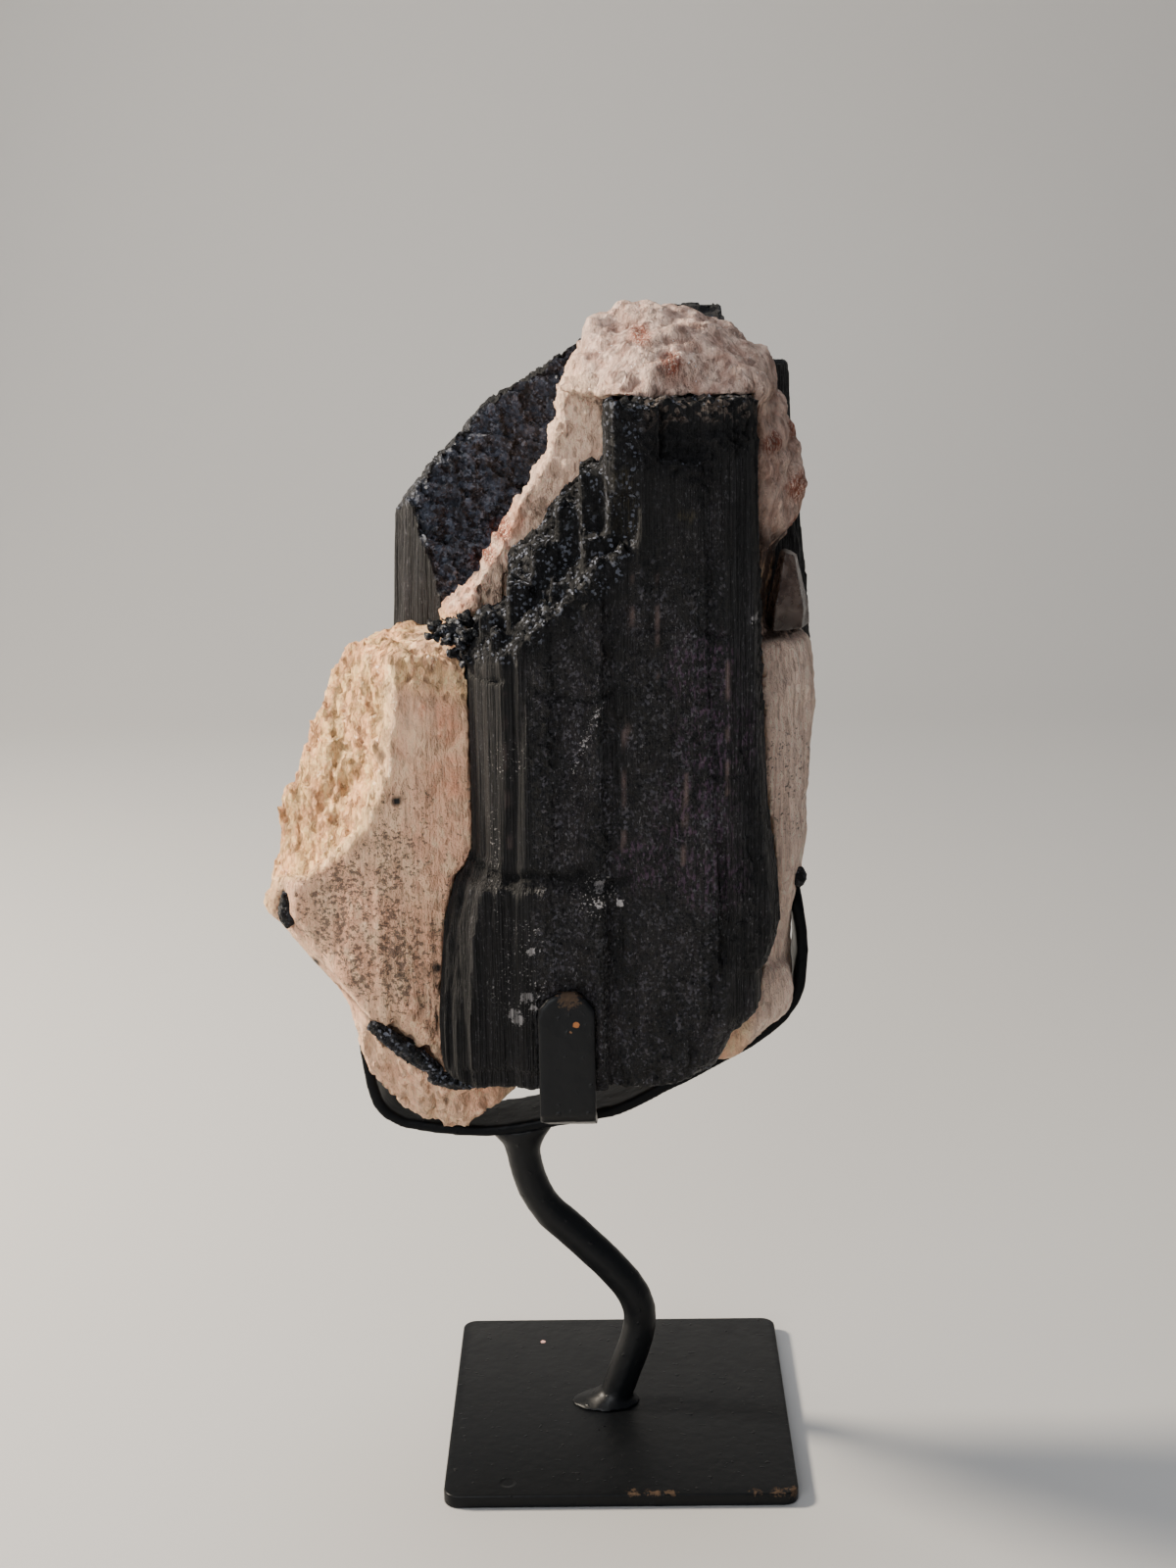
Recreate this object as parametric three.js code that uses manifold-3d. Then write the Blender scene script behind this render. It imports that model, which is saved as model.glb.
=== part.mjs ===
// Black tourmaline on feldspar, held by a painted steel stand.
// Millimetres. +X is the viewer's right, +Y points away from the viewer, +Z is up.
// The origin is the centre of the base plate's underside.

import * as THREE from 'three';
import { mergeVertices } from 'three/addons/utils/BufferGeometryUtils.js';
import { TessellateModifier } from 'three/addons/modifiers/TessellateModifier.js';
import { ImprovedNoise } from 'three/addons/math/ImprovedNoise.js';
import Module from 'manifold-3d';

// Driving dimensions of the stand
const PLATE_SIDE = 100;
const PLATE_THICKNESS = 4;
const PLATE_CORNER = 4;
const ROD_RADIUS = 5;
const BAR_THICKNESS = 3.2;
const BAR_FRONT = -8;
const BAR_BACK = 12;
const FINGER_LEFT = -20.4;
const FINGER_RIGHT = -5.3;
const FINGER_FRONT = -45.2;
const FINGER_THICKNESS = 3;
const FINGER_TIP = 151.4;

// Driving dimensions of the stone
const GAP = 0.3;
const FRONT_TOP = 306.3;
const REAR_BOTTOM = 165;
const MASS_CELL = 14;
const CAP_CELL = 9;

const wasm = await Module();
wasm.setup();

const noise = new ImprovedNoise();

// Solids and meshes

function solidOf(geometry) {
  const plain = new THREE.BufferGeometry();
  plain.setAttribute('position', geometry.getAttribute('position').clone());
  if (geometry.index) plain.setIndex(geometry.index.clone());
  const merged = mergeVertices(plain, 1e-4);
  return new wasm.Manifold(new wasm.Mesh({
    numProp: 3,
    vertProperties: new Float32Array(merged.getAttribute('position').array),
    triVerts: new Uint32Array(merged.index.array),
  }));
}

function geometryOf(solid) {
  const mesh = solid.getMesh();
  const geometry = new THREE.BufferGeometry();
  geometry.setAttribute('position', new THREE.BufferAttribute(new Float32Array(mesh.vertProperties), 3));
  geometry.setIndex(new THREE.BufferAttribute(new Uint32Array(mesh.triVerts), 1));
  return geometry;
}

// The largest connected body of a solid; crumbs cut loose by the neighbours go.
function largestBody(solid) {
  const geometry = geometryOf(solid);
  const position = geometry.getAttribute('position');
  const index = geometry.index.array;
  const leader = Array.from({ length: position.count }, (_, i) => i);
  const find = (i) => {
    let at = i;
    while (leader[at] !== at) {
      leader[at] = leader[leader[at]];
      at = leader[at];
    }
    return at;
  };
  for (let t = 0; t < index.length; t += 3) {
    leader[find(index[t])] = find(index[t + 1]);
    leader[find(index[t + 1])] = find(index[t + 2]);
  }
  const volume = new Map();
  const [a, b, c] = [new THREE.Vector3(), new THREE.Vector3(), new THREE.Vector3()];
  for (let t = 0; t < index.length; t += 3) {
    a.fromBufferAttribute(position, index[t]);
    b.fromBufferAttribute(position, index[t + 1]);
    c.fromBufferAttribute(position, index[t + 2]);
    const body = find(index[t]);
    volume.set(body, (volume.get(body) || 0) + a.dot(b.cross(c)) / 6);
  }
  const best = [...volume.keys()].reduce((top, body) => (volume.get(body) > volume.get(top) ? body : top));
  const kept = [];
  for (let t = 0; t < index.length; t += 3) {
    if (find(index[t]) === best) kept.push(index[t], index[t + 1], index[t + 2]);
  }
  geometry.setIndex(kept);
  return solidOf(geometry);
}

function join(solids) {
  return solids.reduce((sum, next) => sum.add(next));
}

function box(x0, x1, y0, y1, z0, z1) {
  const geometry = new THREE.BoxGeometry(x1 - x0, y1 - y0, z1 - z0);
  geometry.translate((x0 + x1) / 2, (y0 + y1) / 2, (z0 + z1) / 2);
  return solidOf(geometry);
}

// A value read from a list of [place, value] pairs in rising order of place.
function along(table, place) {
  if (place <= table[0][0]) return table[0][1];
  for (let i = 1; i < table.length; i += 1) {
    if (place <= table[i][0]) {
      const [a, va] = table[i - 1];
      const [b, vb] = table[i];
      return va + (vb - va) * (place - a) / (b - a);
    }
  }
  return table[table.length - 1][1];
}

// A closed skin through rings of equal length, listed from the bottom up and
// each running anticlockwise seen from above.
function loft(rings) {
  const count = rings[0].length;
  const points = rings.flat();
  const index = [];
  for (let r = 0; r + 1 < rings.length; r += 1) {
    for (let i = 0; i < count; i += 1) {
      const j = (i + 1) % count;
      const a = r * count + i;
      const b = r * count + j;
      index.push(a, b, b + count, a, b + count, a + count);
    }
  }
  const ends = [rings[0], rings[rings.length - 1]];
  ends.forEach((ring, end) => {
    const centre = new THREE.Vector3();
    ring.forEach((point) => centre.addScaledVector(point, 1 / count));
    const middle = points.push(centre) - 1;
    const first = end === 0 ? 0 : (rings.length - 1) * count;
    for (let i = 0; i < count; i += 1) {
      const a = first + i;
      const b = first + (i + 1) % count;
      if (end === 0) index.push(middle, b, a);
      else index.push(middle, a, b);
    }
  });
  const geometry = new THREE.BufferGeometry().setFromPoints(points);
  geometry.setIndex(index);
  return geometry;
}

// A block that takes away everything on the outer side of a rough broken plane.
function breakage(at, normal, size, cell, relief, seed) {
  const depth = size;
  const cells = Math.round(size / cell);
  const geometry = new THREE.BoxGeometry(size, size, depth, cells, cells, 1);
  const position = geometry.getAttribute('position');
  for (let i = 0; i < position.count; i += 1) {
    if (position.getZ(i) > 0) continue;
    const x = position.getX(i);
    const y = position.getY(i);
    const coarse = noise.noise(x / 13 + seed, y / 13, seed);
    const fine = noise.noise(x / 5.7, y / 5.7 + seed, seed + 4.5);
    position.setZ(i, position.getZ(i) + relief * (1.5 * coarse + 0.9 * fine));
  }
  geometry.translate(0, 0, depth / 2);
  const out = new THREE.Vector3(...normal).normalize();
  geometry.applyQuaternion(new THREE.Quaternion().setFromUnitVectors(new THREE.Vector3(0, 0, 1), out));
  geometry.translate(...at);
  return solidOf(geometry);
}

// Base plate

function basePlate() {
  const half = PLATE_SIDE / 2;
  const inner = half - PLATE_CORNER;
  const outline = new THREE.Shape();
  outline.moveTo(-inner, -half);
  outline.lineTo(inner, -half);
  outline.quadraticCurveTo(half - 0.6, -half + 0.6, half, -inner);
  outline.lineTo(half, inner);
  outline.quadraticCurveTo(half - 0.6, half - 0.6, inner, half);
  outline.lineTo(-inner, half);
  outline.quadraticCurveTo(-half + 0.6, half - 0.6, -half, inner);
  outline.lineTo(-half, -inner);
  outline.quadraticCurveTo(-half + 0.6, -half + 0.6, -inner, -half);
  return new THREE.ExtrudeGeometry(outline, {
    depth: PLATE_THICKNESS, bevelEnabled: false, curveSegments: 4,
  });
}

// Cradle bar: a flat bar bent into a shallow cup, seen from the front.
// Its outer edge is listed from the left tip to the right tip as [x, z].
const BAR_OUTER = [
  [-73.2, 137], [-73.5, 128.7], [-72.7, 119.1], [-71.5, 109.8], [-69.7, 103.8], [-66.7, 100],
  [-61.7, 96.9], [-53.9, 95.4], [-45.9, 94.4], [-36.8, 93.8], [-28, 94.8], [-19.4, 96.4],
  [-6.8, 98.6], [0.1, 99.9], [5.8, 102.3], [13, 106.3], [21.2, 110.4], [31.3, 116.2],
  [38.4, 120.1], [44.1, 124.2], [49, 128.7], [52.2, 133.6], [53.9, 138.4], [54.8, 149.3],
  [54.4, 155.2], [53.4, 161], [52.6, 168],
];

function barSolid(grow) {
  const outer = BAR_OUTER.map(([x, z]) => new THREE.Vector2(x, z));
  const last = outer.length - 1;
  const offset = (distance) => outer.map((point, i) => {
    const before = outer[Math.max(i - 1, 0)];
    const after = outer[Math.min(i + 1, last)];
    const run = after.clone().sub(before).normalize();
    const end = i === 0 ? -grow : i === last ? grow : 0;
    return new THREE.Vector2(point.x - run.y * distance + run.x * end,
      point.y + run.x * distance + run.y * end);
  });
  const ring = [...offset(-grow), ...offset(BAR_THICKNESS + grow).reverse()];
  const width = BAR_BACK - BAR_FRONT + 2 * grow;
  const geometry = new THREE.ExtrudeGeometry(new THREE.Shape(ring), { depth: width, bevelEnabled: false });
  geometry.rotateX(Math.PI / 2);
  geometry.translate(0, BAR_BACK + grow, 0);
  return solidOf(geometry);
}

// The tips of the bar are rounded across its width.
function roundedTips(solid) {
  const middle = (BAR_FRONT + BAR_BACK) / 2;
  const half = (BAR_BACK - BAR_FRONT) / 2;
  const tip = (top, side) => {
    const outline = new THREE.Shape();
    outline.moveTo(middle - half - 1, top - half * 0.7);
    for (let i = 0; i <= 8; i += 1) {
      const turn = Math.PI * i / 8;
      outline.lineTo(middle - half * Math.cos(turn), top - half * 0.7 + half * 0.7 * Math.sin(turn));
    }
    outline.lineTo(middle + half + 1, top - half * 0.7);
    outline.lineTo(middle + half + 1, top + 3);
    outline.lineTo(middle - half - 1, top + 3);
    const geometry = new THREE.ExtrudeGeometry(outline, { depth: 20, bevelEnabled: false });
    geometry.rotateX(Math.PI / 2);
    geometry.rotateZ(Math.PI / 2);
    geometry.translate(side, 0, 0);
    return solidOf(geometry);
  };
  return solid.subtract(tip(137, -82)).subtract(tip(168, 42));
}

// Rod: a round bar bent in an S, with a weld at its foot and a flare under the cradle.
function rod(bar) {
  const path = new THREE.CatmullRomCurve3([
    [-4.6, 0], [-1.4, 7], [1.4, 15.2], [5.1, 26.4], [5.9, 33.9], [3.4, 40.9], [-2.4, 48.6],
    [-8.3, 54.8], [-14.8, 61.3], [-21.7, 67.9], [-25.5, 76], [-27, 84], [-28.4, 97],
  ].map(([x, z]) => new THREE.Vector3(x, 0, z)));
  const round = new THREE.Shape().absarc(0, 0, ROD_RADIUS, 0, Math.PI * 2);
  const tube = new THREE.ExtrudeGeometry(round, { steps: 24, extrudePath: path, curveSegments: 7 });
  const ellipse = (x, z, wide, deep) => {
    const ring = [];
    for (let i = 0; i < 16; i += 1) {
      const turn = Math.PI * 2 * i / 16;
      ring.push(new THREE.Vector3(x + wide * Math.cos(turn), deep * Math.sin(turn), z));
    }
    return ring;
  };
  const foot = loft([
    ellipse(-4.2, PLATE_THICKNESS - 1, 11, 7.6),
    ellipse(-4.2, PLATE_THICKNESS + 0.4, 10.4, 7.2),
    ellipse(-3.2, PLATE_THICKNESS + 1.6, 7.4, 6),
    ellipse(-2.2, PLATE_THICKNESS + 3.4, 5.2, 5),
  ]);
  const flare = loft([
    ellipse(-27.4, 85.5, 4.9, 4.9),
    ellipse(-27.4, 89, 5.9, 5.5),
    ellipse(-28, 91.6, 7.8, 6.2),
    ellipse(-28.4, 95, 10.6, 7),
    ellipse(-28.4, 99, 11, 7),
  ]);
  return join([solidOf(tube), solidOf(foot), solidOf(flare)])
    .subtract(box(-60, 60, -60, 60, -20, PLATE_THICKNESS))
    .subtract(bar)
    .subtract(box(-60, 0, -30, 30, 95.4, 120));
}

// Front finger: a flat bar that runs out from the cradle, under the crystal and up its face.
// The side view is listed as [y, z].
function finger() {
  const back = FINGER_FRONT + FINGER_THICKNESS;
  const side = new THREE.Shape([
    [BAR_FRONT, 97.8], [-38.6, 112], [-41.8, 113.1], [-43.9, 114.4], [FINGER_FRONT, 116.6],
    [FINGER_FRONT, 140], [FINGER_FRONT + 0.4, FINGER_TIP - 1.6], [FINGER_FRONT + 1.4, FINGER_TIP],
    [back - 0.2, FINGER_TIP], [back, 149], [back, 118.8], [back + 0.7, 116.7],
    [back + 2.4, 115.5], [back + 4.6, 114.8], [BAR_FRONT, 101.2],
  ].reverse().map(([y, z]) => new THREE.Vector2(y, z)));
  const run = new THREE.ExtrudeGeometry(side, { depth: 30, bevelEnabled: false });
  run.rotateX(Math.PI / 2);
  run.rotateZ(Math.PI / 2);
  run.translate(-28, 0, 0);
  const front = new THREE.Shape([
    [FINGER_LEFT, 90], [FINGER_RIGHT, 90], [FINGER_RIGHT, 146.4], [FINGER_RIGHT - 2, 149],
    [FINGER_RIGHT - 5, FINGER_TIP], [FINGER_LEFT + 5.4, FINGER_TIP],
    [FINGER_LEFT + 2.4, 149.4], [FINGER_LEFT, 146.6],
  ].map(([x, z]) => new THREE.Vector2(x, z)));
  const width = new THREE.ExtrudeGeometry(front, { depth: 60, bevelEnabled: false });
  width.rotateX(Math.PI / 2);
  width.translate(0, 0, 0);
  return solidOf(run).intersect(solidOf(width));
}

// Front crystal

// Its cross-section half way up as [x, y], anticlockwise seen from above, with
// the flutes of the prism faces.
const FRONT_SECTION = [
  [-38.2, -16], [-38.6, -22], [-37, -24.6], [-37.7, -27.2], [-35.3, -29.6], [-35.8, -32],
  [-32.8, -34.6], [-32.9, -36.6], [-29.6, -37.6], [-29, -39.4], [-24.9, -39.2], [-24, -41.2],
  [-16.4, -41.8], [-15.4, -40.7], [-9, -41.4], [-3.2, -42], [-1.6, -40.6], [-0.4, -39.4],
  [1.4, -41.4], [8, -42], [14, -41.4], [20, -42.2], [25.2, -41.8], [26.4, -39.6],
  [28, -41.2], [32.6, -40.8], [33.6, -39.4], [37.2, -38.4], [38.8, -34], [38.2, -32.6],
  [40.1, -28], [39.2, -22], [39.9, -16], [37, -9], [31, -5.4], [22, -4.6],
  [20, -3.2], [0, -3.6], [-14, -2.8], [-26, -4.5], [-34, -9],
];

const FRONT_LEFT = [
  [122.5, -44.5], [124, -46.6], [128.1, -47.4], [139.9, -47.8], [153.9, -46.8], [167.7, -45.3],
  [178.6, -42.2], [184, -39.6], [187, -38.5], [213, -38.3], [306, -38],
];

const FRONT_RIGHT = [
  [122.5, 17], [124.4, 23], [126.9, 28.3], [131.9, 30.9], [136.7, 32.8], [140.3, 37.5],
  [143, 40.4], [154.7, 40.6], [155.5, 42.6], [160, 43.9], [166.5, 45.2], [180, 44.3],
  [199, 41.8], [233, 40.1], [268.6, 39.2], [306, 38.2],
];

const FRONT_LEVELS = [
  122.5, 124.2, 127.6, 128.8, 132, 137, 140.3, 143, 154.7, 155.6, 160.4, 166.5,
  178.6, 180.4, 187, 199, 233, 268.6, 310,
];

function frontRing(z, grow) {
  const left = along(FRONT_LEFT, z);
  const right = along(FRONT_RIGHT, z);
  const rim = z < 128 ? 1.1 : 0;
  const swell = along([[128, 1.2], [179, 1.5], [180.4, 0], [310, 0]], z);
  const foot = along([[140, 1], [160, 0.7], [179, 0.5], [180.4, 0], [310, 0]], z);
  return FRONT_SECTION.map(([x, y]) => {
    let px = x;
    if (x < -20) px = -20 + (x + 20) * (left + 20) / -18.3;
    if (x > 5) px = 5 + (x - 5) * (right - 5) / 35.1;
    let py = y;
    if (y < -34) py += rim;
    if (y < -34 && x < -1) py -= swell;
    if (x < -28 && y > -38) py += foot * 0.8 * (x + 28);
    const out = new THREE.Vector2(px + 1, py + 22).normalize().multiplyScalar(grow);
    return new THREE.Vector3(px + out.x, py + out.y, z);
  });
}

// Blocks that stand up out of the broken shoulder, as [x0, x1, y0, y1, top].
const SHOULDER_BLOCKS = [
  [-34, -28.2, -30, -17, 251], [-26.6, -20.2, -34, -18, 259.6], [-20, -13.6, -31, -15, 269],
  [-13.4, -6.4, -30, -14, 279], [-7.4, -0.6, -33, -12, 288], [-15, -9.2, -37.4, -29, 261],
  [-7, 0.4, -38.6, -29.4, 272], [-30.6, -25, -37, -31, 246.6], [-0.6, 8.4, -38.4, -12, 291],
];

function frontCrystal() {
  const core = solidOf(loft(FRONT_LEVELS.map((z) => frontRing(z, 0))));
  const shoulder = breakage([-15, -41, 253], [-0.93, -0.6, 1], 150, 6.5, 1.3, 3.1);
  const lowStep = breakage([-33, -20, 246.8], [-0.35, -0.22, 1], 70, 6.5, 0.9, 4.4)
    .intersect(box(-70, -27, -60, 20, 200, 330));
  const spared = box(-0.8, 60, -60, 10, 283, 330).add(box(7.4, 60, -60, 10, 200, 290));
  const blocks = SHOULDER_BLOCKS.map(([x0, x1, y0, y1, top]) => box(x0, x1, y0, y1, 236, top));
  const top = breakage([18, -22, 305.2], [-0.02, 0.02, 1], 100, 5, 0.55, 7.7);
  const underside = breakage([0, -22, 122.9], [0.02, 0.03, -1], 130, 9, 0.7, 1.4);
  return core
    .subtract(shoulder.subtract(spared))
    .subtract(lowStep)
    .add(join(blocks))
    .subtract(box(12.8, 24.4, -60, -38.6, 291, 330))
    .subtract(box(24.4, 33.6, -60, -40, 296.5, 330))
    .subtract(top)
    .subtract(underside);
}

// Rear crystals

const REAR_LEFT_SECTION = [
  [-46, 2.4], [-42, 1.6], [-30, 1.5], [-28.6, 2.6], [-14, 2.2], [0, 6], [7, 15], [9, 27],
  [6, 37], [-2, 43.4], [-4, 42.6], [-14, 45.6], [-27, 44.6], [-29, 46.2], [-39.6, 45.8],
  [-41, 44.4], [-49, 43.6], [-50.6, 42], [-56.4, 39.2], [-57, 37], [-60.6, 33], [-60, 30.6],
  [-61.6, 26], [-60.6, 23.6], [-60.8, 18], [-58.6, 15.8], [-57.2, 11.4], [-54.4, 9.6],
  [-52.6, 6.4], [-49.6, 5.4],
];

const REAR_RIGHT_SECTION = [
  [12, 17], [24, 10.4], [26, 11.6], [39.6, 9.4], [41, 10.6], [51, 12], [52.4, 14],
  [57, 17.6], [57.6, 20.4], [60, 24], [59.4, 26.6], [60, 30], [56.6, 35], [55.4, 37.4],
  [50, 41.8], [47.6, 41.6], [38, 44.8], [36.4, 43.8], [24, 44.4], [12, 41], [6, 30],
];

// The two rear crystals as one solid, grown outwards by a margin for their bed in the feldspar.
function rearCrystals(grow) {
  const outward = (x, y, centreX) => {
    return new THREE.Vector2(x - centreX, y - 24).normalize().multiplyScalar(grow);
  };
  const left = loft([REAR_BOTTOM - 20, 235, 325].map((z) => REAR_LEFT_SECTION.map(([x, y]) => {
    const lean = x < -40 ? along([[145, -2.4], [235, -0.7], [273, 2.2], [325, 4]], z) : 0;
    const out = outward(x, y, -26);
    return new THREE.Vector3(x + lean + out.x, y + out.y, z);
  })));
  const rightLevels = [REAR_BOTTOM - 10, 212, 236, 253, 291, 330];
  const right = loft(rightLevels.map((z) => REAR_RIGHT_SECTION.map(([x, y]) => {
    const edge = along([[155, 56], [212, 56.4], [236, 57.4], [253, 55.9], [291, 51.6], [330, 49.4]], z);
    const px = x > 25 ? 25 + (x - 25) * (edge - 25) / 35 : x;
    const out = outward(x, y, 33);
    return new THREE.Vector3(px + out.x, y + out.y, z);
  })));
  const broken = (solid, at, normal, size, cell, relief, seed) => {
    const out = new THREE.Vector3(...normal).setLength(grow);
    const place = [at[0] + out.x, at[1] + out.y, at[2] + out.z];
    return solid.subtract(breakage(place, normal, size, cell, relief, seed));
  };
  let leftCrystal = broken(solidOf(left), [-46, 1, 246], [0.3, -0.85, 0.33], 170, 10, 1.4, 5.3);
  leftCrystal = broken(leftCrystal, [-47.8, 25, 285], [-1.13, 0, 1], 120, 9, 1, 2.6);
  leftCrystal = broken(leftCrystal, [-21, 25, 308], [-0.62, 0, 1], 120, 9, 1, 7.2);
  leftCrystal = broken(leftCrystal, [-20, 30, REAR_BOTTOM], [-0.2, 0.3, -1], 140, 10, 1.2, 8.8);
  let rightCrystal = solidOf(right).subtract(box(32.4 + grow, 70, 0, 60, 311 + grow, 340));
  rightCrystal = broken(rightCrystal, [20, 25, 324], [-0.03, -0.1, 1], 90, 6, 0.9, 6.1);
  rightCrystal = broken(rightCrystal, [35, 30, REAR_BOTTOM + 20], [0.25, 0.35, -1], 120, 10, 1.2, 4.9);
  return leftCrystal.add(rightCrystal);
}

// Feldspar

// Cross-sections as [z, [[x, y] ...]], anticlockwise seen from above, starting
// at the leftmost point and running along the front.
const LOWER_SECTIONS = [
  [121, [[-62, -14], [-56, -20], [-48, -21], [-38, -20], [-20, -14], [20, -14], [34, -14], [37, -10],
    [38, -2], [34, 8], [25, 14], [0, 16], [-30, 14], [-54, 2]]],
  [130, [[-72.2, -15], [-63, -25], [-55, -26], [-47, -25], [-20, -15], [20, -15], [38, -18], [43, -12],
    [46.5, -1], [47, 12], [32, 19], [0, 22], [-34, 18], [-62, 0]]],
  [139, [[-74.4, -15], [-67, -26], [-57, -28], [-48, -25.6], [-20, -15], [20, -15], [40, -19], [47, -12],
    [50.6, -1], [47, 13], [34, 23], [0, 26], [-36, 22], [-64, 2]]],
  [148, [[-82, -14], [-74, -26], [-60, -28.5], [-48, -25.8], [-20, -15], [20, -15], [41, -20], [47, -12],
    [50.4, -1], [47, 13], [36, 25], [0, 29], [-40, 25], [-70, 8]]],
  [157, [[-89, -13], [-80, -25.5], [-61, -28.5], [-46, -25.8], [-20, -15], [20, -15], [41, -20], [48, -12],
    [51.4, -1], [49, 14], [37, 27], [0, 31], [-42, 27], [-76, 11]]],
  [167, [[-95.3, -12], [-87, -22.5], [-62, -28.5], [-45, -25.8], [-20, -15], [20, -15], [41, -20],
    [49.4, -12], [53.4, -1], [51, 14], [38, 29], [0, 33], [-43, 29], [-79, 13]]],
  [175, [[-93.6, -11], [-86.4, -21.6], [-62, -28.4], [-43, -25.8], [-20, -15], [20, -15], [41, -21],
    [49.4, -13], [53.4, -1], [51.4, 14], [39, 30], [0, 34], [-44, 30], [-80, 14]]],
  [184, [[-92.6, -9], [-73.4, -26], [-58, -28.2], [-39, -25.4], [-20, -15], [20, -15], [41, -21], [50, -13],
    [53.6, -1], [52, 14], [40, 30], [0, 34], [-44, 30], [-80, 14]]],
  [193, [[-91.8, -8], [-65, -27], [-54, -28], [-39, -25.4], [-20, -15], [20, -15], [41, -21], [50.4, -13],
    [54.2, -1], [52.4, 14], [40, 31], [0, 34], [-44, 30], [-79, 14]]],
  [206, [[-86.2, -8], [-59.8, -27.4], [-50, -28], [-39, -25.2], [-20, -15], [20, -15], [41, -21], [51, -13],
    [55.8, -1], [53, 14], [40, 31], [0, 34], [-44, 30], [-75, 14]]],
  [220, [[-81.8, -8], [-58, -26.6], [-50, -27.4], [-39, -24.8], [-20, -15], [20, -15], [41, -20], [51, -12],
    [57, -1], [53, 14], [40, 31], [0, 34], [-44, 29], [-72, 14]]],
  [231, [[-76.2, -8], [-57, -25.6], [-49, -26.4], [-39, -24.4], [-20, -15], [20, -15], [40, -18], [50, -11],
    [56.4, -1], [52, 13], [40, 31], [0, 34], [-43, 27], [-68, 12]]],
  [238, [[-73, -7], [-56.6, -23.6], [-48, -25], [-39, -23.4], [-20, -15], [20, -15], [39, -17], [49, -10],
    [55, -1], [51, 12], [39, 30], [0, 33], [-42, 25], [-64, 11]]],
  [242.4, [[-60, -4], [-53, -15], [-46, -18], [-38, -20], [-20, -13], [20, -13], [36, -13], [45, -8],
    [49, -1], [46, 10], [36, 26], [0, 30], [-38, 21], [-54, 7]]],
];

const UPPER_SECTIONS = [
  [232, [[-46, 2], [-42, -12], [-30, -18], [-10, -20], [20, -20], [38, -16], [42, -4], [40, 12], [20, 28],
    [-14, 28], [-34, 16]]],
  [248, [[-46.4, 2], [-43, -10], [-32, -16], [-10, -20], [20, -20], [39, -16], [43, -4], [41, 12], [20, 30],
    [-14, 30], [-34, 16]]],
  [256, [[-36.6, 4], [-34, -9], [-24, -17], [-8, -20], [20, -20], [39, -16], [43.4, -4], [41, 12], [20, 31],
    [-12, 31], [-27, 18]]],
  [264, [[-32.4, 5], [-29, -9], [-20, -17], [-6, -20], [20, -20], [40, -16], [45, -3], [42, 12], [20, 31],
    [-10, 32], [-24, 20]]],
  [272, [[-28, 6], [-24, -9], [-16, -18], [-4, -21], [20, -21], [42, -17], [51.6, -2], [46, 12], [20, 31],
    [-8, 33], [-20, 22]]],
  [281, [[-21, 8], [-18, -9], [-12, -18], [-3, -22], [20, -22], [43, -18], [53.6, -1], [46, 12], [20, 31],
    [-4, 34], [-14, 25]]],
  [290, [[-15.8, 9], [-14, -9], [-10, -18], [-2, -22], [20, -22], [42, -18], [52.4, -1], [45, 12], [20, 31],
    [-1, 34], [-10, 26]]],
  [298, [[-13.4, 10], [-12.4, -9], [-9, -18], [-1, -22], [20, -22], [40, -18], [49.6, -1], [43, 11], [20, 29],
    [0, 33], [-8, 27]]],
  [307, [[-11.6, 9], [-11, -9], [-8, -20], [-1, -29], [18, -31], [37, -28], [46.4, -1], [40, 10], [20, 24],
    [2, 28], [-7, 22]]],
  [315, [[-9, 5], [-8, -8], [-5, -17], [2, -24], [17, -26], [33, -22], [41.8, -1], [35, 8], [19, 17],
    [3, 18], [-5, 14]]],
  [322, [[-4.6, 2], [-3, -7], [0, -13], [6, -17], [16, -18.5], [27, -14], [34, -1], [28, 5], [17, 10],
    [5, 11], [-1, 8]]],
  [327.4, [[3, -1], [4, -5], [7, -8], [11, -9], [15, -9], [19, -6], [20, -1], [17, 2], [14, 4], [9, 4],
    [5, 3]]],
];

const LEFT_WEDGE = [
  [98, [[-52.6, -7], [-49, -10], [-44.6, -8], [-43.6, -3], [-47, 0], [-51.4, -2]]],
  [101, [[-56.4, -12], [-49, -16], [-41, -14], [-39.4, -4], [-45, 3], [-54, 1]]],
  [106, [[-61.4, -15], [-50, -21], [-35, -18], [-31, -6], [-38, 6], [-56, 4]]],
  [112, [[-65.8, -17], [-52, -23], [-33, -20], [-26, -8], [-32, 8], [-58, 4]]],
  [119, [[-69.6, -18], [-56, -25], [-36, -25], [-26, -10], [-34, 8], [-60, 2]]],
  [128, [[-72.6, -17], [-60, -25], [-42, -26], [-30, -12], [-40, 8], [-62, 1]]],
];

const RIGHT_LUMP = [
  [120.8, [[27, -17], [31, -18], [33, -13], [31, -7], [28, -8]]],
  [124, [[25, -20], [34, -21], [37.4, -13], [36, -1], [28, -2]]],
  [129, [[26, -21], [37, -22], [41.4, -14], [41, -1], [28, 2]]],
  [134, [[26, -21], [41, -22], [48.4, -14], [48, -1], [30, 4]]],
  [140, [[26, -21], [42, -22], [49.8, -14], [49, -1], [30, 4]]],
  [148, [[26, -20], [42, -21], [49.4, -13], [48, -1], [30, 4]]],
];

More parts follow.
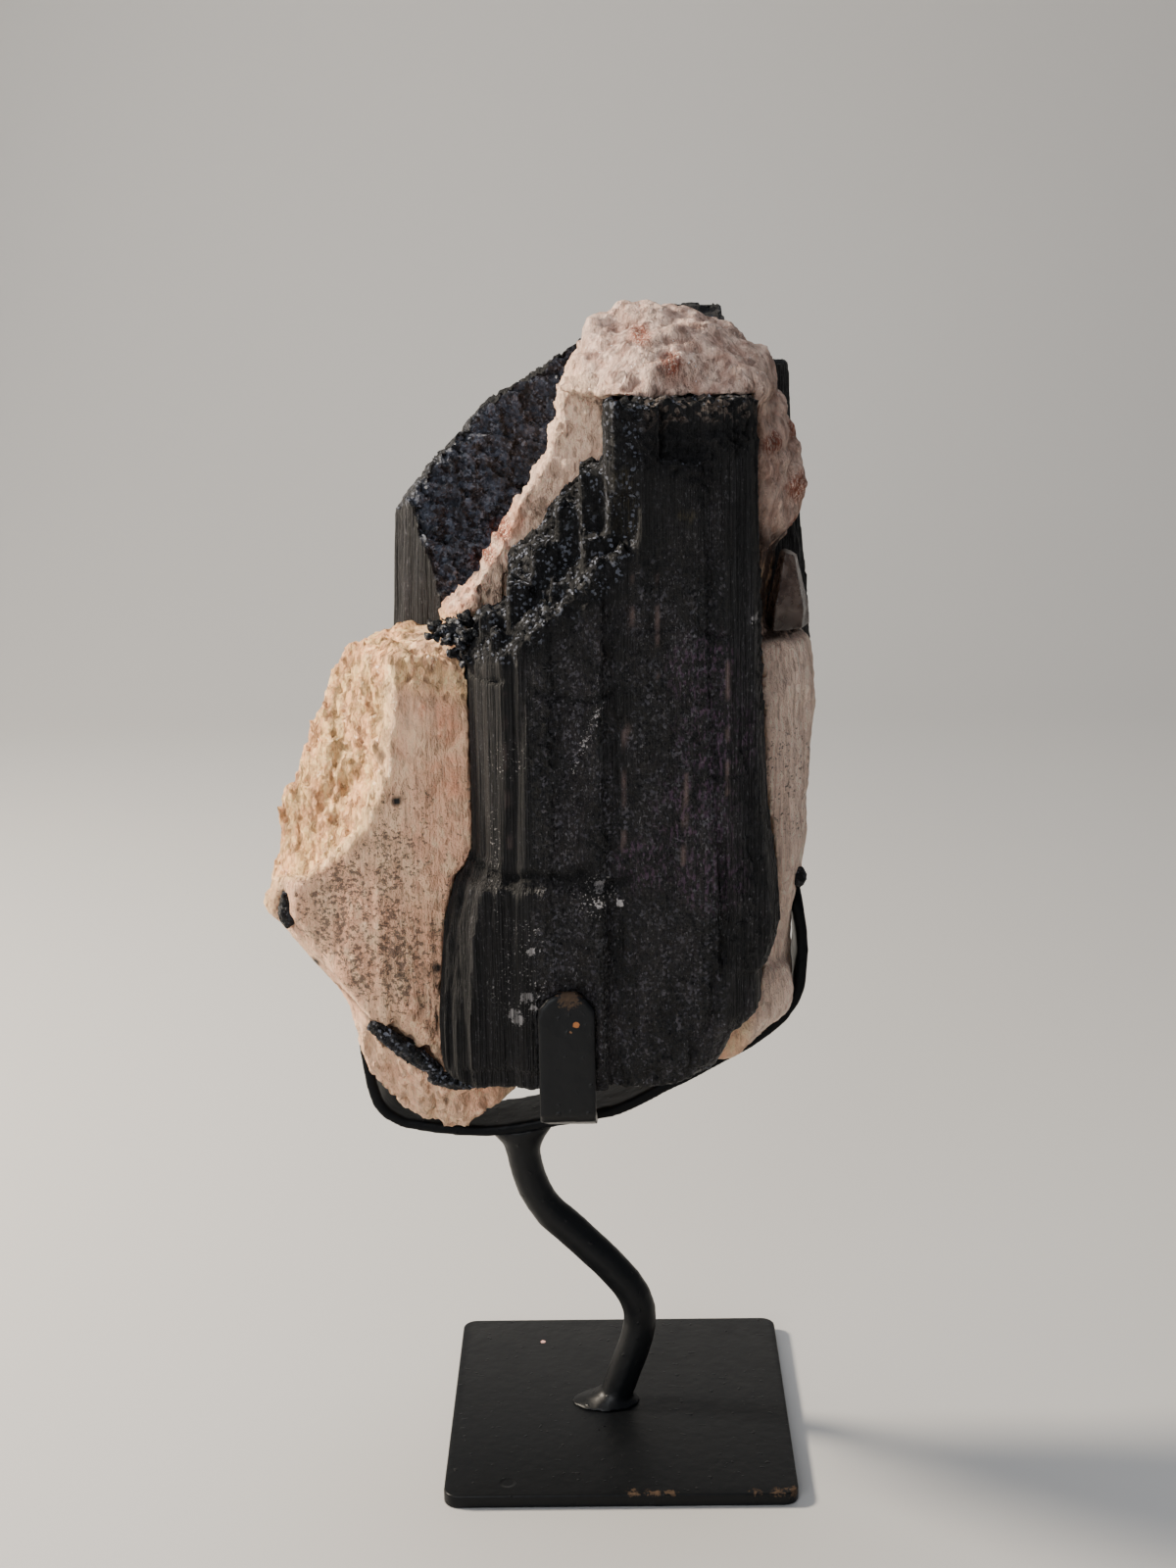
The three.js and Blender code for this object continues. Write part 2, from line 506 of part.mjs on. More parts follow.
// Lumps pushed out of the surface: small on the flat facets, large on the cap.
function roughen(geometry) {
  const position = geometry.getAttribute('position');
  geometry.computeVertexNormals();
  const normal = geometry.getAttribute('normal');
  const moved = new Float32Array(position.array);
  for (let i = 0; i < position.count; i += 1) {
    const x = position.getX(i);
    const y = position.getY(i);
    const z = position.getZ(i);
    const cap = THREE.MathUtils.smoothstep(z, 262, 308);
    const broad = noise.noise(x / 19 + 0.3, y / 19 + 5.1, z / 24);
    const lump = noise.noise(x / 9.5 + 11.2, y / 9.5, z / (12 - 3.5 * cap) + 2.2);
    const push = 1.6 * broad + (1.5 + 2 * cap) * lump + 0.1;
    moved[3 * i] = x + push * normal.getX(i);
    moved[3 * i + 1] = y + push * normal.getY(i);
    moved[3 * i + 2] = z + push * normal.getZ(i);
  }
  const result = new THREE.BufferGeometry();
  result.setAttribute('position', new THREE.BufferAttribute(moved, 3));
  result.setIndex(geometry.index.clone());
  return result;
}

function sections(table, cell) {
  const skin = loft(table.map(([z, ring]) => ring.map(([x, y]) => new THREE.Vector3(x, y, z))));
  const fine = mergeVertices(new TessellateModifier(cell, 10).modify(skin.toNonIndexed()), 1e-3);
  return solidOf(roughen(fine));
}

function feldsparBody() {
  return join([sections(LOWER_SECTIONS, MASS_CELL), sections(UPPER_SECTIONS, CAP_CELL),
    sections(LEFT_WEDGE, CAP_CELL), sections(RIGHT_LUMP, CAP_CELL)]);
}

// The front crystal's unbroken prism, a little larger, for its bed in the feldspar.
function frontBed() {
  const bed = loft(FRONT_LEVELS.map((z) => frontRing(z, GAP)));
  return solidOf(bed).intersect(box(-90, 90, -90, 90, 90, FRONT_TOP));
}

// Small pieces set in the feldspar

function pebble(at, size, turn, seed, grow) {
  const geometry = new THREE.IcosahedronGeometry(1, 1);
  const position = geometry.getAttribute('position');
  for (let i = 0; i < position.count; i += 1) {
    const point = new THREE.Vector3().fromBufferAttribute(position, i);
    const push = 1 + 0.3 * noise.noise(point.x * 1.6 + seed, point.y * 1.6, point.z * 1.6 + seed);
    point.multiplyScalar(push);
    position.setXYZ(i, point.x, point.y, point.z);
  }
  geometry.scale(...size.map((half) => half + grow));
  geometry.rotateY(turn);
  geometry.translate(...at);
  return solidOf(geometry);
}

// A broken wedge of quartz in the gap on the right, listed as [x, y, z].
function quartzWedge(grow) {
  const low = [[43.4, -13], [51.6, -11], [54.4, -4], [53, 3], [45, 5], [42.6, -4]];
  const middle = [[44.2, -13.4], [52, -11], [54, -4], [52.4, 3], [45.6, 5], [43, -4]];
  const high = [[47, -9.4], [49.6, -9], [50.6, -5], [49.8, -1], [47.6, 0], [46.2, -5]];
  const ring = (points, z, slope) => points.map(([x, y]) => {
    const out = new THREE.Vector2(x - 48.4, y + 4.4).normalize().multiplyScalar(1.3 * grow);
    return new THREE.Vector3(x + out.x, y + out.y, z + slope * (x - 48));
  });
  const rings = [ring(low, 242 - grow, 0.05), ring(middle, 248, -0.1), ring(high, 262.4 + grow, -0.35)];
  return solidOf(loft(rings));
}

// Assembly

const group = new THREE.Group();
group.name = 'tourmaline_on_feldspar';

function piece(name, shape, colour, roughness, metalness) {
  const geometry = shape.isBufferGeometry ? shape : geometryOf(shape);
  const color = new THREE.Color(...colour);
  const material = new THREE.MeshStandardMaterial({ color, roughness, metalness });
  material.name = name;
  const mesh = new THREE.Mesh(geometry, material);
  mesh.name = name;
  group.add(mesh);
}

const bar = roundedTips(barSolid(0));
const barRoom = barSolid(GAP);
const fingerSolid = finger();
const fingerRoom = box(
  FINGER_LEFT - 1, FINGER_RIGHT + 1, FINGER_FRONT - 2, FINGER_FRONT + FINGER_THICKNESS + 0.1,
  90, FINGER_TIP + 2,
);
const front = frontCrystal().subtract(barRoom).subtract(fingerRoom);
const rear = rearCrystals(0);
const quartz = quartzWedge(0).subtract(frontBed());

const knobLeft = (grow) => pebble([-89.7, -17, 167.2], [3, 3.6, 5.6], 0.1, 1.7, grow);
const knobRight = (grow) => pebble([51.8, -9, 171.8], [2.3, 3, 2.6], 0.3, 4.2, grow);
const sliver = (grow) => pebble([-58, -26.2, 128.9], [13.2, 2.9, 3], 0.66, 8.1, grow)
  .add(pebble([-44.6, -26.8, 119.4], [8, 3, 2], 0.14, 3.6, grow));
const bed = 1.2 * GAP;
const feldspar = largestBody(feldsparBody()
  .subtract(frontBed())
  .subtract(rearCrystals(bed))
  .subtract(join([quartzWedge(bed), knobLeft(bed), knobRight(bed), sliver(bed)]))
  .subtract(barRoom));

const STEEL = [0.035, 0.036, 0.038];
const BLACK = [0.016, 0.016, 0.019];
piece('base_plate', basePlate(), STEEL, 0.5, 0.0);
piece('stand_rod', rod(barSolid(0.05)), STEEL, 0.45, 0.0);
piece('cradle_bar', bar, STEEL, 0.5, 0.0);
piece('front_finger', fingerSolid, STEEL, 0.5, 0.0);
piece('feldspar', feldspar, [0.6, 0.4, 0.3], 0.8, 0.0);
piece('front_tourmaline', front, BLACK, 0.35, 0.0);
piece('rear_tourmaline', rear, BLACK, 0.4, 0.0);
piece('smoky_quartz', quartz, [0.16, 0.12, 0.1], 0.15, 0.0);
piece('tourmaline_knob_left', knobLeft(0), BLACK, 0.4, 0.0);
piece('tourmaline_knob_right', knobRight(0), BLACK, 0.4, 0.0);
piece('tourmaline_sliver', largestBody(sliver(0).subtract(frontBed())), BLACK, 0.4, 0.0);

export default group;
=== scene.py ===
"""Black tourmaline on feldspar in its black steel stand.

The sizes in the tables are millimetres in the object's own frame: +X to the right, +Y away
from the viewer, +Z up, and the origin under the middle of the base plate.
"""

import math

import bmesh
import bpy
import numpy as np
from mathutils import Matrix, Vector, noise


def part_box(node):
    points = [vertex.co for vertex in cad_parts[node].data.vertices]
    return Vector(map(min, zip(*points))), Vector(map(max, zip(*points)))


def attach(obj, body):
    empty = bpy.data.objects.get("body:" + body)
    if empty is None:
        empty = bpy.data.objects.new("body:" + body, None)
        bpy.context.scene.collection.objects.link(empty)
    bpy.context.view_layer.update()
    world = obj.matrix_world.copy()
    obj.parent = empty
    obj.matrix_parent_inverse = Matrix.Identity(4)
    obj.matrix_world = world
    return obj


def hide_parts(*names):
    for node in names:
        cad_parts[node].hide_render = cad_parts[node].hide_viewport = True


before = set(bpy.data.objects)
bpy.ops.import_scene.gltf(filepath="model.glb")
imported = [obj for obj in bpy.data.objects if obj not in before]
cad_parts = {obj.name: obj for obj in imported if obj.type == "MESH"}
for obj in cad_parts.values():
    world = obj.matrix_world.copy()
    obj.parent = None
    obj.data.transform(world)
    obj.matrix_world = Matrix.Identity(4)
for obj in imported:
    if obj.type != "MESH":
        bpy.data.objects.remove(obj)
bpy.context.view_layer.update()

bl_info = {
    "name": "Tourmaline on feldspar",
    "version": (1, 0, 0),
    "blender": (4, 5, 0),
    "location": "View3D > Sidebar > Mineral",
    "description": "Builds a black tourmaline and feldspar display stone in its steel stand",
    "category": "Object",
}

MM = 0.001
BODY = "root"
SIDEWAYS = np.array([1.0, 1.0, 0.0])
FLOOR_COLOUR = (0.52, 0.515, 0.505)

# The base plate's rounded corners and rims, and its rust, marks (with colours) and dent, as places and radii.
PLATE_CORNER = 4.2
PLATE_RIM = 0.55
PLATE_RUST = (((3.5, -49.4, 5.4), 3.2), ((9, -49.4, 5.6), 3.8), ((14, -49.6, 5.2), 3),
              ((38, -49.6, 5.2), 2.8), ((44, -49.8, 5), 3.4), ((49, -48.6, 4.2), 3.2))
PLATE_MARKS = (((-24.2, 35.7, 4), 0.8, (0.62, 0.36, 0.32)), ((-7.6, -3.2, 5), 0.9, (0.3, 0.28, 0.27)))
PLATE_DENT = (-32, -43.5, 4)

# The same for the front finger.
FINGER_RUST = (((-12, -44.6, 150.6), 4.8),)
FINGER_MARKS = (
    ((-10.2, -45.4, 142.6), 0.9, (0.4, 0.15, 0.05)),
    ((-10.2, -45.4, 125.4), 0.15, (0.2, 0.19, 0.18)),
    ((-15.6, -45.4, 144.8), 0.2, (0.24, 0.23, 0.22)),
    ((-11.8, -45.4, 140.6), 0.4, (0.2, 0.1, 0.05)),
)

ROD_BULGE = 67
QUARTZ_FOOT = (46, -8, 240)

# The ridge between the sunny granular facet and the front facet of the left mass, as (z, x).
RIDGE = ((150, -99), (175, -91), (178, -82), (184, -73), (193, -65), (206, -59.8), (220, -58), (240, -56))

# Deeper grooves on the front facet, darkened a little with painted shade, as (x, lower z, upper z).
GROOVE_COLUMNS = ((-61, 132, 180), (-52.6, 136, 178), (-48.2, 130, 172))

# Round spots on the stone and on the crystals, seen from the front, as (x, z, radius).
STONE = {
    "speckled": ((-70, 168, 16), (-60, 184, 10), (-62, 158, 16)),
    "strip": ((47, 205, 12), (50, 190, 8)),
    "salmon": ((-46, 228, 8), (-43, 206, 7), (-44, 219, 5), (-48, 236, 5)),
    "pink": ((-43, 250, 6), (-38, 254, 4), (-26, 272, 5)),
    "orange": ((56.5, 212, 5), (57, 200, 5), (57, 222, 5)),
    "rust": ((49.3, 294.7, 2.4), (43.1, 292.5, 3), (16.5, 314.5, 3.4), (9, 320.6, 3),
             (51.2, 279.7, 4.4), (-29.5, 268.7, 4), (-33, 262, 3), (50, 268.5, 3.2)),
    "dark": ((-57.5, 200.2, 1.7), (-47.8, 151.7, 1.5), (-83, 151, 1.6)),
    "smear": ((-51.8, 151.7, 2.6), (-50, 151.7, 2)),
}
CRYSTAL = {
    "knocked": ((14, 296, 8), (22, 292, 8), (31, 299, 7), (8, 302, 6)),
    "lined": ((1.5, 230, 5), (1.5, 245, 5), (1.5, 215, 5), (1.5, 260, 5)),
    "purple": ((24, 238, 10), (28, 220, 12), (22, 200, 12), (8, 186, 8), (26, 182, 10)),
    "olive": ((4.2, 287, 3), (4.2, 281, 3), (4.2, 275, 3), (20.8, 277.2, 1.5), (18.6, 277.6, 1.2)),
    "fleck": ((-26.3, 143.8, 3.2), (-23.3, 149.6, 2.4), (-21.6, 146.4, 1.8), (-21.7, 162.6, 1.8),
              (-3.5, 180.1, 2.3), (-3.8, 175.6, 1.7), (1.6, 175, 1.6), (37.4, 250.4, 1.6)),
    "fleck fields": ((-26, 152, 9), (-24, 166, 6), (-5, 178, 7), (-27, 214, 6)),
    "rust": ((-30, 266, 4), (-36, 259, 3)),
}

# The line from the lower left to the upper right where the front crystal's shoulder is broken, as (x, z).
SHOULDER = ((-48, 236), (-37.6, 241), (-27.3, 242.5), (-20.5, 244.4), (-15.8, 251.3), (-11.5, 255),
            (-2.4, 259.7), (3.4, 265.9), (6.7, 271.3), (7.2, 275.8), (8.5, 292), (12.4, 300))

# Crumbs at the left end of the shoulder, as (x, y, z, half size).
CRUMBS = ((-44.8, -22, 244.4, 1.9), (-42.4, -24, 243.2, 2.1), (-40.6, -22, 245.6, 2.2),
          (-39.2, -25.4, 242.6, 2), (-46.4, -19, 245.6, 1.3), (-42.6, -19, 247.2, 1.5),
          (-38.6, -20, 247.8, 2.2), (-37.4, -25, 245, 2.3), (-41.6, -26.2, 239.6, 1.5),
          (-38.4, -27.4, 238.6, 2))

# The ledge and the cracks across the front crystal, as a depth, a line of (x, z) and a width.
LEDGE = ((-40, 185), (-32, 182.9), (-27, 181.7), (-20.7, 183.5), (-13, 182.3), (-6.5, 184.1), (-3.5, 180.1),
         (0, 180), (3.7, 182.1))
CRACKS = (
    (1, LEDGE, 1.2),
    (0.8, ((-19.6, 233), (-14.6, 231.2), (-8.4, 230.1), (-0.8, 231), (1.3, 234)), 1),
    (0.7, ((-39, 235), (-34, 234.2), (-28, 235)), 0.9),
    (0.6, ((12.5, 248), (16.6, 249), (20.6, 249.5), (27.1, 246.4), (30.5, 246.2)), 0.8),
    (0.3, ((3, 210.1), (19.2, 209.6), (34.4, 209.2)), 0.6),
)

# Dark bands between the front crystal's flutes (pushed in and darkened with painted shade), its pale scratch,
# the edge of its flank and its brown streaks.
BANDS = ((((2.6, 150), (1, 205), (2, 262), (4, 290)), 1.5),
         (((29.5, 132), (28.8, 200), (30.6, 250), (29.4, 300)), 1.3))
SCRATCH = ((-2.8, 228.4), (-6.7, 219.9), (-9.9, 212.1))
FLANK_BORDER = ((-31.5, 200), (-30.5, 176), (-28, 150))
STREAKS = (((5.8, 262), (5.2, 240), (4.4, 222)), ((3.6, 222), (3.1, 204), (2.6, 188)),
           ((12.2, 262), (12.4, 236)), ((19.2, 210), (18.6, 186)), ((30.4, 240), (30, 205)),
           ((-27.5, 232), (-27, 190)))


# Numbers and fields

def step(low, high, value):
    """0 below low, 1 above high and smooth between them."""
    share = np.clip((value - low) / (high - low), 0.0, 1.0)
    return share * share * (3.0 - 2.0 * share)


def fall(low, high, value):
    """1 below low, 0 above high and smooth between them."""
    return 1.0 - step(low, high, value)


def field(points, size, seed, tall=1.0, wide=1.0):
    """Smooth noise, about -1 to 1, whose lumps are size millimetres across."""
    places = points / (size * np.array([wide, 1.0, tall])) + np.array([seed, 1.7 * seed, 0.6 * seed])
    return np.array([noise.noise(place) for place in places.tolist()])


def facets(points, size, seed, tall=1.0, wide=1.0):
    """Relief of small flat faces, each tilted its own way, and the crack between them."""
    places = points / (size * np.array([wide, 1.0, tall])) + np.array([seed, 2.3 * seed, 0.9 * seed])
    relief = np.zeros(len(places))
    crack = np.zeros(len(places))
    for i, place in enumerate(places.tolist()):
        distance, near = noise.voronoi(place)
        centre = near[0]
        tilt = noise.cell_vector(centre * 37.0)
        relief[i] = (Vector(place) - centre).dot(tilt)
        crack[i] = distance[1] - distance[0]
    return relief * size, crack


def columns(x, y, size, seed):
    """One random height, 0 to 1, for each square column of that size."""
    value = np.sin(np.floor(x / size) * 127.1 + np.floor(y / size) * 311.7 + seed * 53.3) * 43758.5453
    return value - np.floor(value)


def spots(points, centres):
    """1 inside round spots given as (x, z, radius), seen from the front."""
    mask = np.zeros(len(points))
    for x, z, radius in centres:
        distance = np.hypot(points[:, 0] - x, points[:, 2] - z) / radius
        mask = np.maximum(mask, fall(0.55, 1.25, distance))
    return mask


def near_line(points, line, width):
    """1 on a line of (x, z) seen from the front, fading to 0 at its width."""
    x, z = points[:, 0], points[:, 2]
    mask = np.zeros(len(points))
    for (x0, z0), (x1, z1) in zip(line, line[1:]):
        run = np.array([x1 - x0, z1 - z0], dtype=float)
        share = np.clip(((x - x0) * run[0] + (z - z0) * run[1]) / run.dot(run), 0.0, 1.0)
        distance = np.hypot(x - x0 - share * run[0], z - z0 - share * run[1])
        mask = np.maximum(mask, fall(0.3 * width, width, distance))
    return mask


# Meshes

def new_piece(name, mesh):
    """A new object for a mesh, in the scene and riding on the one body."""
    piece = bpy.data.objects.new(name, mesh)
    bpy.context.scene.collection.objects.link(piece)
    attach(piece, BODY)
    return piece


def copy_of_node(name, node):
    """A merged copy of a CAD node as a piece that stands for it."""
    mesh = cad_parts[node].data.copy()
    mesh.name = name
    mesh.materials.clear()
    shell = bmesh.new()
    shell.from_mesh(mesh)
    bmesh.ops.remove_doubles(shell, verts=shell.verts, dist=0.002 * MM)
    shell.to_mesh(mesh)
    shell.free()
    piece = new_piece(name, mesh)
    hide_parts(node)
    return piece


def remesh(piece, voxel, rounds=0):
    """Covers the piece with an even skin of small faces and softens it for some rounds."""
    skin = piece.modifiers.new("Even skin", "REMESH")
    skin.mode = "VOXEL"
    skin.voxel_size = voxel * MM
    skin.use_smooth_shade = False
    if rounds:
        relax = piece.modifiers.new("Soft edges", "SMOOTH")
        relax.iterations = rounds
        relax.factor = 0.5
    made = piece.evaluated_get(bpy.context.evaluated_depsgraph_get())
    mesh = bpy.data.meshes.new_from_object(made)
    mesh.name = piece.name
    old = piece.data
    piece.modifiers.clear()
    piece.data = mesh
    bpy.data.meshes.remove(old)


def read_points(piece):
    """The piece's points and normals, in millimetres."""
    mesh = piece.data
    points = np.empty(len(mesh.vertices) * 3)
    normals = np.empty(len(mesh.vertices) * 3)
    mesh.vertices.foreach_get("co", points)
    mesh.vertices.foreach_get("normal", normals)
    return points.reshape(-1, 3) / MM, normals.reshape(-1, 3)


def smooth(piece):
    for face in piece.data.polygons:
        face.use_smooth = True


def finish_piece(piece, points, material, **masks):
    """Moves the piece's points to places in millimetres and keeps the masks that the material reads."""
    piece.data.vertices.foreach_set("co", (points * MM).astype(np.float32).ravel())
    piece.data.update()
    smooth(piece)
    for name, values in masks.items():
        layer = piece.data.attributes.new(name, "FLOAT", "POINT")
        layer.data.foreach_set("value", np.clip(values, 0.0, 1.0).astype(np.float32))
    piece.data.materials.append(material)


# Node trees

class Net:
    """Short ways to add and link nodes in one tree."""

    def __init__(self, tree):
        self.tree = tree

    def add(self, kind, inputs=None, **settings):
        """A node with these inputs and settings."""
        node = self.tree.nodes.new(kind)
        for name, value in settings.items():
            setattr(node, name, value)
        for socket, value in (inputs or {}).items():
            self.feed(node.inputs[socket], value)
        return node

    def feed(self, socket, value):
        if isinstance(value, bpy.types.NodeSocket):
            self.tree.links.new(value, socket)
        else:
            socket.default_value = value

    def maths(self, operation, a, b):
        return self.add("ShaderNodeMath", {0: a, 1: b}, operation=operation).outputs[0]

    def plus(self, a, b):
        return self.maths("ADD", a, b)

    def minus(self, a, b):
        return self.maths("SUBTRACT", a, b)

    def times(self, a, b):
        return self.maths("MULTIPLY", a, b)

    def over(self, a, b):
        return self.maths("DIVIDE", a, b)

    def larger(self, a, b):
        return self.maths("MAXIMUM", a, b)

    def vector(self, operation, a, b):
        node = self.add("ShaderNodeVectorMath", {0: a, 1: b}, operation=operation)
        return node.outputs["Value" if operation in ("DOT_PRODUCT", "DISTANCE") else "Vector"]

    def scaled(self, value, factor):
        """The vector or colour times a number."""
        inputs = {0: value, "Scale": factor}
        return self.add("ShaderNodeVectorMath", inputs, operation="SCALE").outputs["Vector"]

    def noise(self, place, scale, detail=2.0, roughness=0.5):
        inputs = {"Vector": place, "Scale": scale, "Detail": detail, "Roughness": roughness}
        return self.add("ShaderNodeTexNoise", inputs).outputs["Fac"]

    def span(self, value, low, high):
        """0 at low, 1 at high."""
        inputs = {"Value": value, "From Min": low, "From Max": high}
        return self.add("ShaderNodeMapRange", inputs, interpolation_type="SMOOTHSTEP").outputs["Result"]

    def mix(self, share, a, b):
        a, b = (part if isinstance(part, bpy.types.NodeSocket) else (*part, 1.0) for part in (a, b))
        return self.add("ShaderNodeMix", {"Factor": share, 6: a, 7: b}, data_type="RGBA").outputs[2]

    def layers(self, colour, *layers):
        """The colour under layers of (mask, share, tint)."""
        for mask, share, tint in layers:
            colour = self.mix(self.times(mask, share), colour, tint)
        return colour

    def mask(self, name):
        return self.add("ShaderNodeAttribute", attribute_name=name).outputs["Fac"]

    def bump(self, height, distance, strength, **under):
        inputs = {"Strength": strength, "Distance": distance, "Height": height, **under}
        return self.add("ShaderNodeBump", inputs).outputs["Normal"]

    def place(self):
        """The point's place on the object, in millimetres."""
        return self.scaled(self.add("ShaderNodeTexCoord").outputs["Object"], 1.0 / MM)

    def group(self, name, **values):
        """The outputs of a shared node group, which is made at its first use."""
        tree = bpy.data.node_groups.get(name) or GROUP_MAKERS[name]()
        return self.add("ShaderNodeGroup", values, node_tree=tree).outputs

    def surface(self, values):
        """Sets or feeds the main shader's sockets."""
        for name, value in values.items():
            self.feed(self.tree.nodes["Principled BSDF"].inputs[name], value)

    def facets(self, place, size):
        return self.group("Broken facets", Place=place, Size=size)

    def lines(self, place, pitch, run):
        return self.group("Crystal lines", Place=place, Pitch=pitch, Run=run)


def new_group(name, inputs, outputs):
    """A group that takes a place and some numbers and gives numbers: its net, inputs and outputs."""
    tree = bpy.data.node_groups.new(name, "ShaderNodeTree")
    tree.interface.new_socket("Place", in_out="INPUT", socket_type="NodeSocketVector")
    for socket, default in inputs.items():
        made = tree.interface.new_socket(socket, in_out="INPUT", socket_type="NodeSocketFloat")
        made.default_value = default
    for socket in outputs:
        tree.interface.new_socket(socket, in_out="OUTPUT", socket_type="NodeSocketFloat")
    net = Net(tree)
    return net, net.add("NodeGroupInput").outputs, net.add("NodeGroupOutput").inputs


def facet_group():
    """Small flat faces, each with its own tilt, as on broken stone."""
    net, given, result = new_group("Broken facets", {"Size": 1.0}, ("Height", "Shade"))
    scaled = net.scaled(given["Place"], net.over(1.0, given["Size"]))
    cells = net.add("ShaderNodeTexVoronoi", {"Scale": 1.0, "Vector": scaled})
    away = net.vector("SUBTRACT", scaled, cells.outputs["Position"])
    tilt = net.vector("SUBTRACT", cells.outputs["Color"], (0.5, 0.5, 0.5))
    net.feed(result["Height"], net.vector("DOT_PRODUCT", away, tilt))
    parts = net.add("ShaderNodeSeparateColor", {"Color": cells.outputs["Color"]})
    net.feed(result["Shade"], parts.outputs["Red"])
    return net.tree


def lines_group():
    """Long fine lines up the object, as on the sides of a fluted crystal."""
    net, given, result = new_group("Crystal lines", {"Pitch": 1.0, "Run": 40.0}, ("Height", "Thin"))
    parts = net.add("ShaderNodeSeparateXYZ", {"Vector": given["Place"]}).outputs
    lengths = {"X": "Pitch", "Y": "Pitch", "Z": "Run"}
    inputs = {axis: net.over(parts[axis], given[length]) for axis, length in lengths.items()}
    drawn = net.add("ShaderNodeCombineXYZ", inputs)
    value = net.noise(drawn.outputs["Vector"], 1.0, 3.0, 0.6)
    net.feed(result["Height"], value)
    net.feed(result["Thin"], net.span(value, 0.6, 0.74))
    return net.tree


def dust_group():
    """Pale specks and thin dust, thicker in some patches."""
    net, given, result = new_group("Dust", {"Amount": 0.5, "Size": 0.6}, ("Mask",))
    fine = net.noise(given["Place"], net.over(1.0, given["Size"]), 1.0)
    patches = net.noise(given["Place"], 0.09)
    edge = net.minus(0.86, net.times(net.plus(patches, given["Amount"]), 0.22))
    net.feed(result["Mask"], net.span(fine, edge, net.plus(edge, 0.06)))
    return net.tree


GROUP_MAKERS = {"Broken facets": facet_group, "Crystal lines": lines_group, "Dust": dust_group}


def new_material(name):
    """A material and its net."""
    material = bpy.data.materials.new(name)
    material.use_nodes = True
    return material, Net(material.node_tree)


def tinted(colour, factor):
    return tuple(factor * part for part in colour)


def painted_steel(settings, rust_places=(), marks=(), dent=None, gloss=0.16):
    """Black satin paint with small bumps, a little dust and, at some places, rust, pale marks or a dent."""
    material, net = new_material("Black painted steel")
    place = net.place()
    soft = net.noise(place, 0.12, 3.0)
    grain = net.noise(place, 1.1)
    dust = net.group("Dust", Place=place, Amount=-0.35, Size=0.5)["Mask"]
    rust = 0.0
    for centre, radius in rust_places:
        near = net.over(net.vector("DISTANCE", place, centre), radius)
        ragged = net.times(net.noise(place, 0.9, 4.0, 0.7), 2.6)
        rust = net.larger(rust, net.span(net.plus(near, ragged), 1.95, 1.75))
    paint = net.mix(soft, settings.paint_colour, tinted(settings.paint_colour, 1.5))
    colour = net.mix(rust, paint, net.mix(grain, (0.026, 0.018, 0.013), (0.1, 0.062, 0.038)))
    for centre, radius, tint in marks:
        near = net.plus(net.vector("DISTANCE", place, centre), net.noise(place, 1.2))
        colour = net.mix(net.span(near, radius + 0.6, radius + 0.4), colour, tint)
    satin = net.plus(0.3, net.times(soft, 0.2))
    pimples = net.span(net.noise(place, 0.45, 1.0), 0.68, 0.8)
    swells = net.plus(net.times(net.noise(place, 0.3, 1.0), 0.6), pimples)
    if dent is not None:
        swells = net.plus(swells, net.span(net.vector("DISTANCE", place, dent), 1.4, 2.6))
    height = net.plus(net.times(grain, 0.4), net.times(dust, 0.6))
    net.surface({
        "Base Color": net.mix(dust, colour, (0.2, 0.19, 0.18)),
        "Specular IOR Level": gloss,
        "Roughness": net.larger(satin, net.times(rust, 0.85)),
        "Normal": net.bump(height, 0.15 * MM, 0.5, Normal=net.bump(swells, 0.6 * MM, 0.4)),
    })
    return material


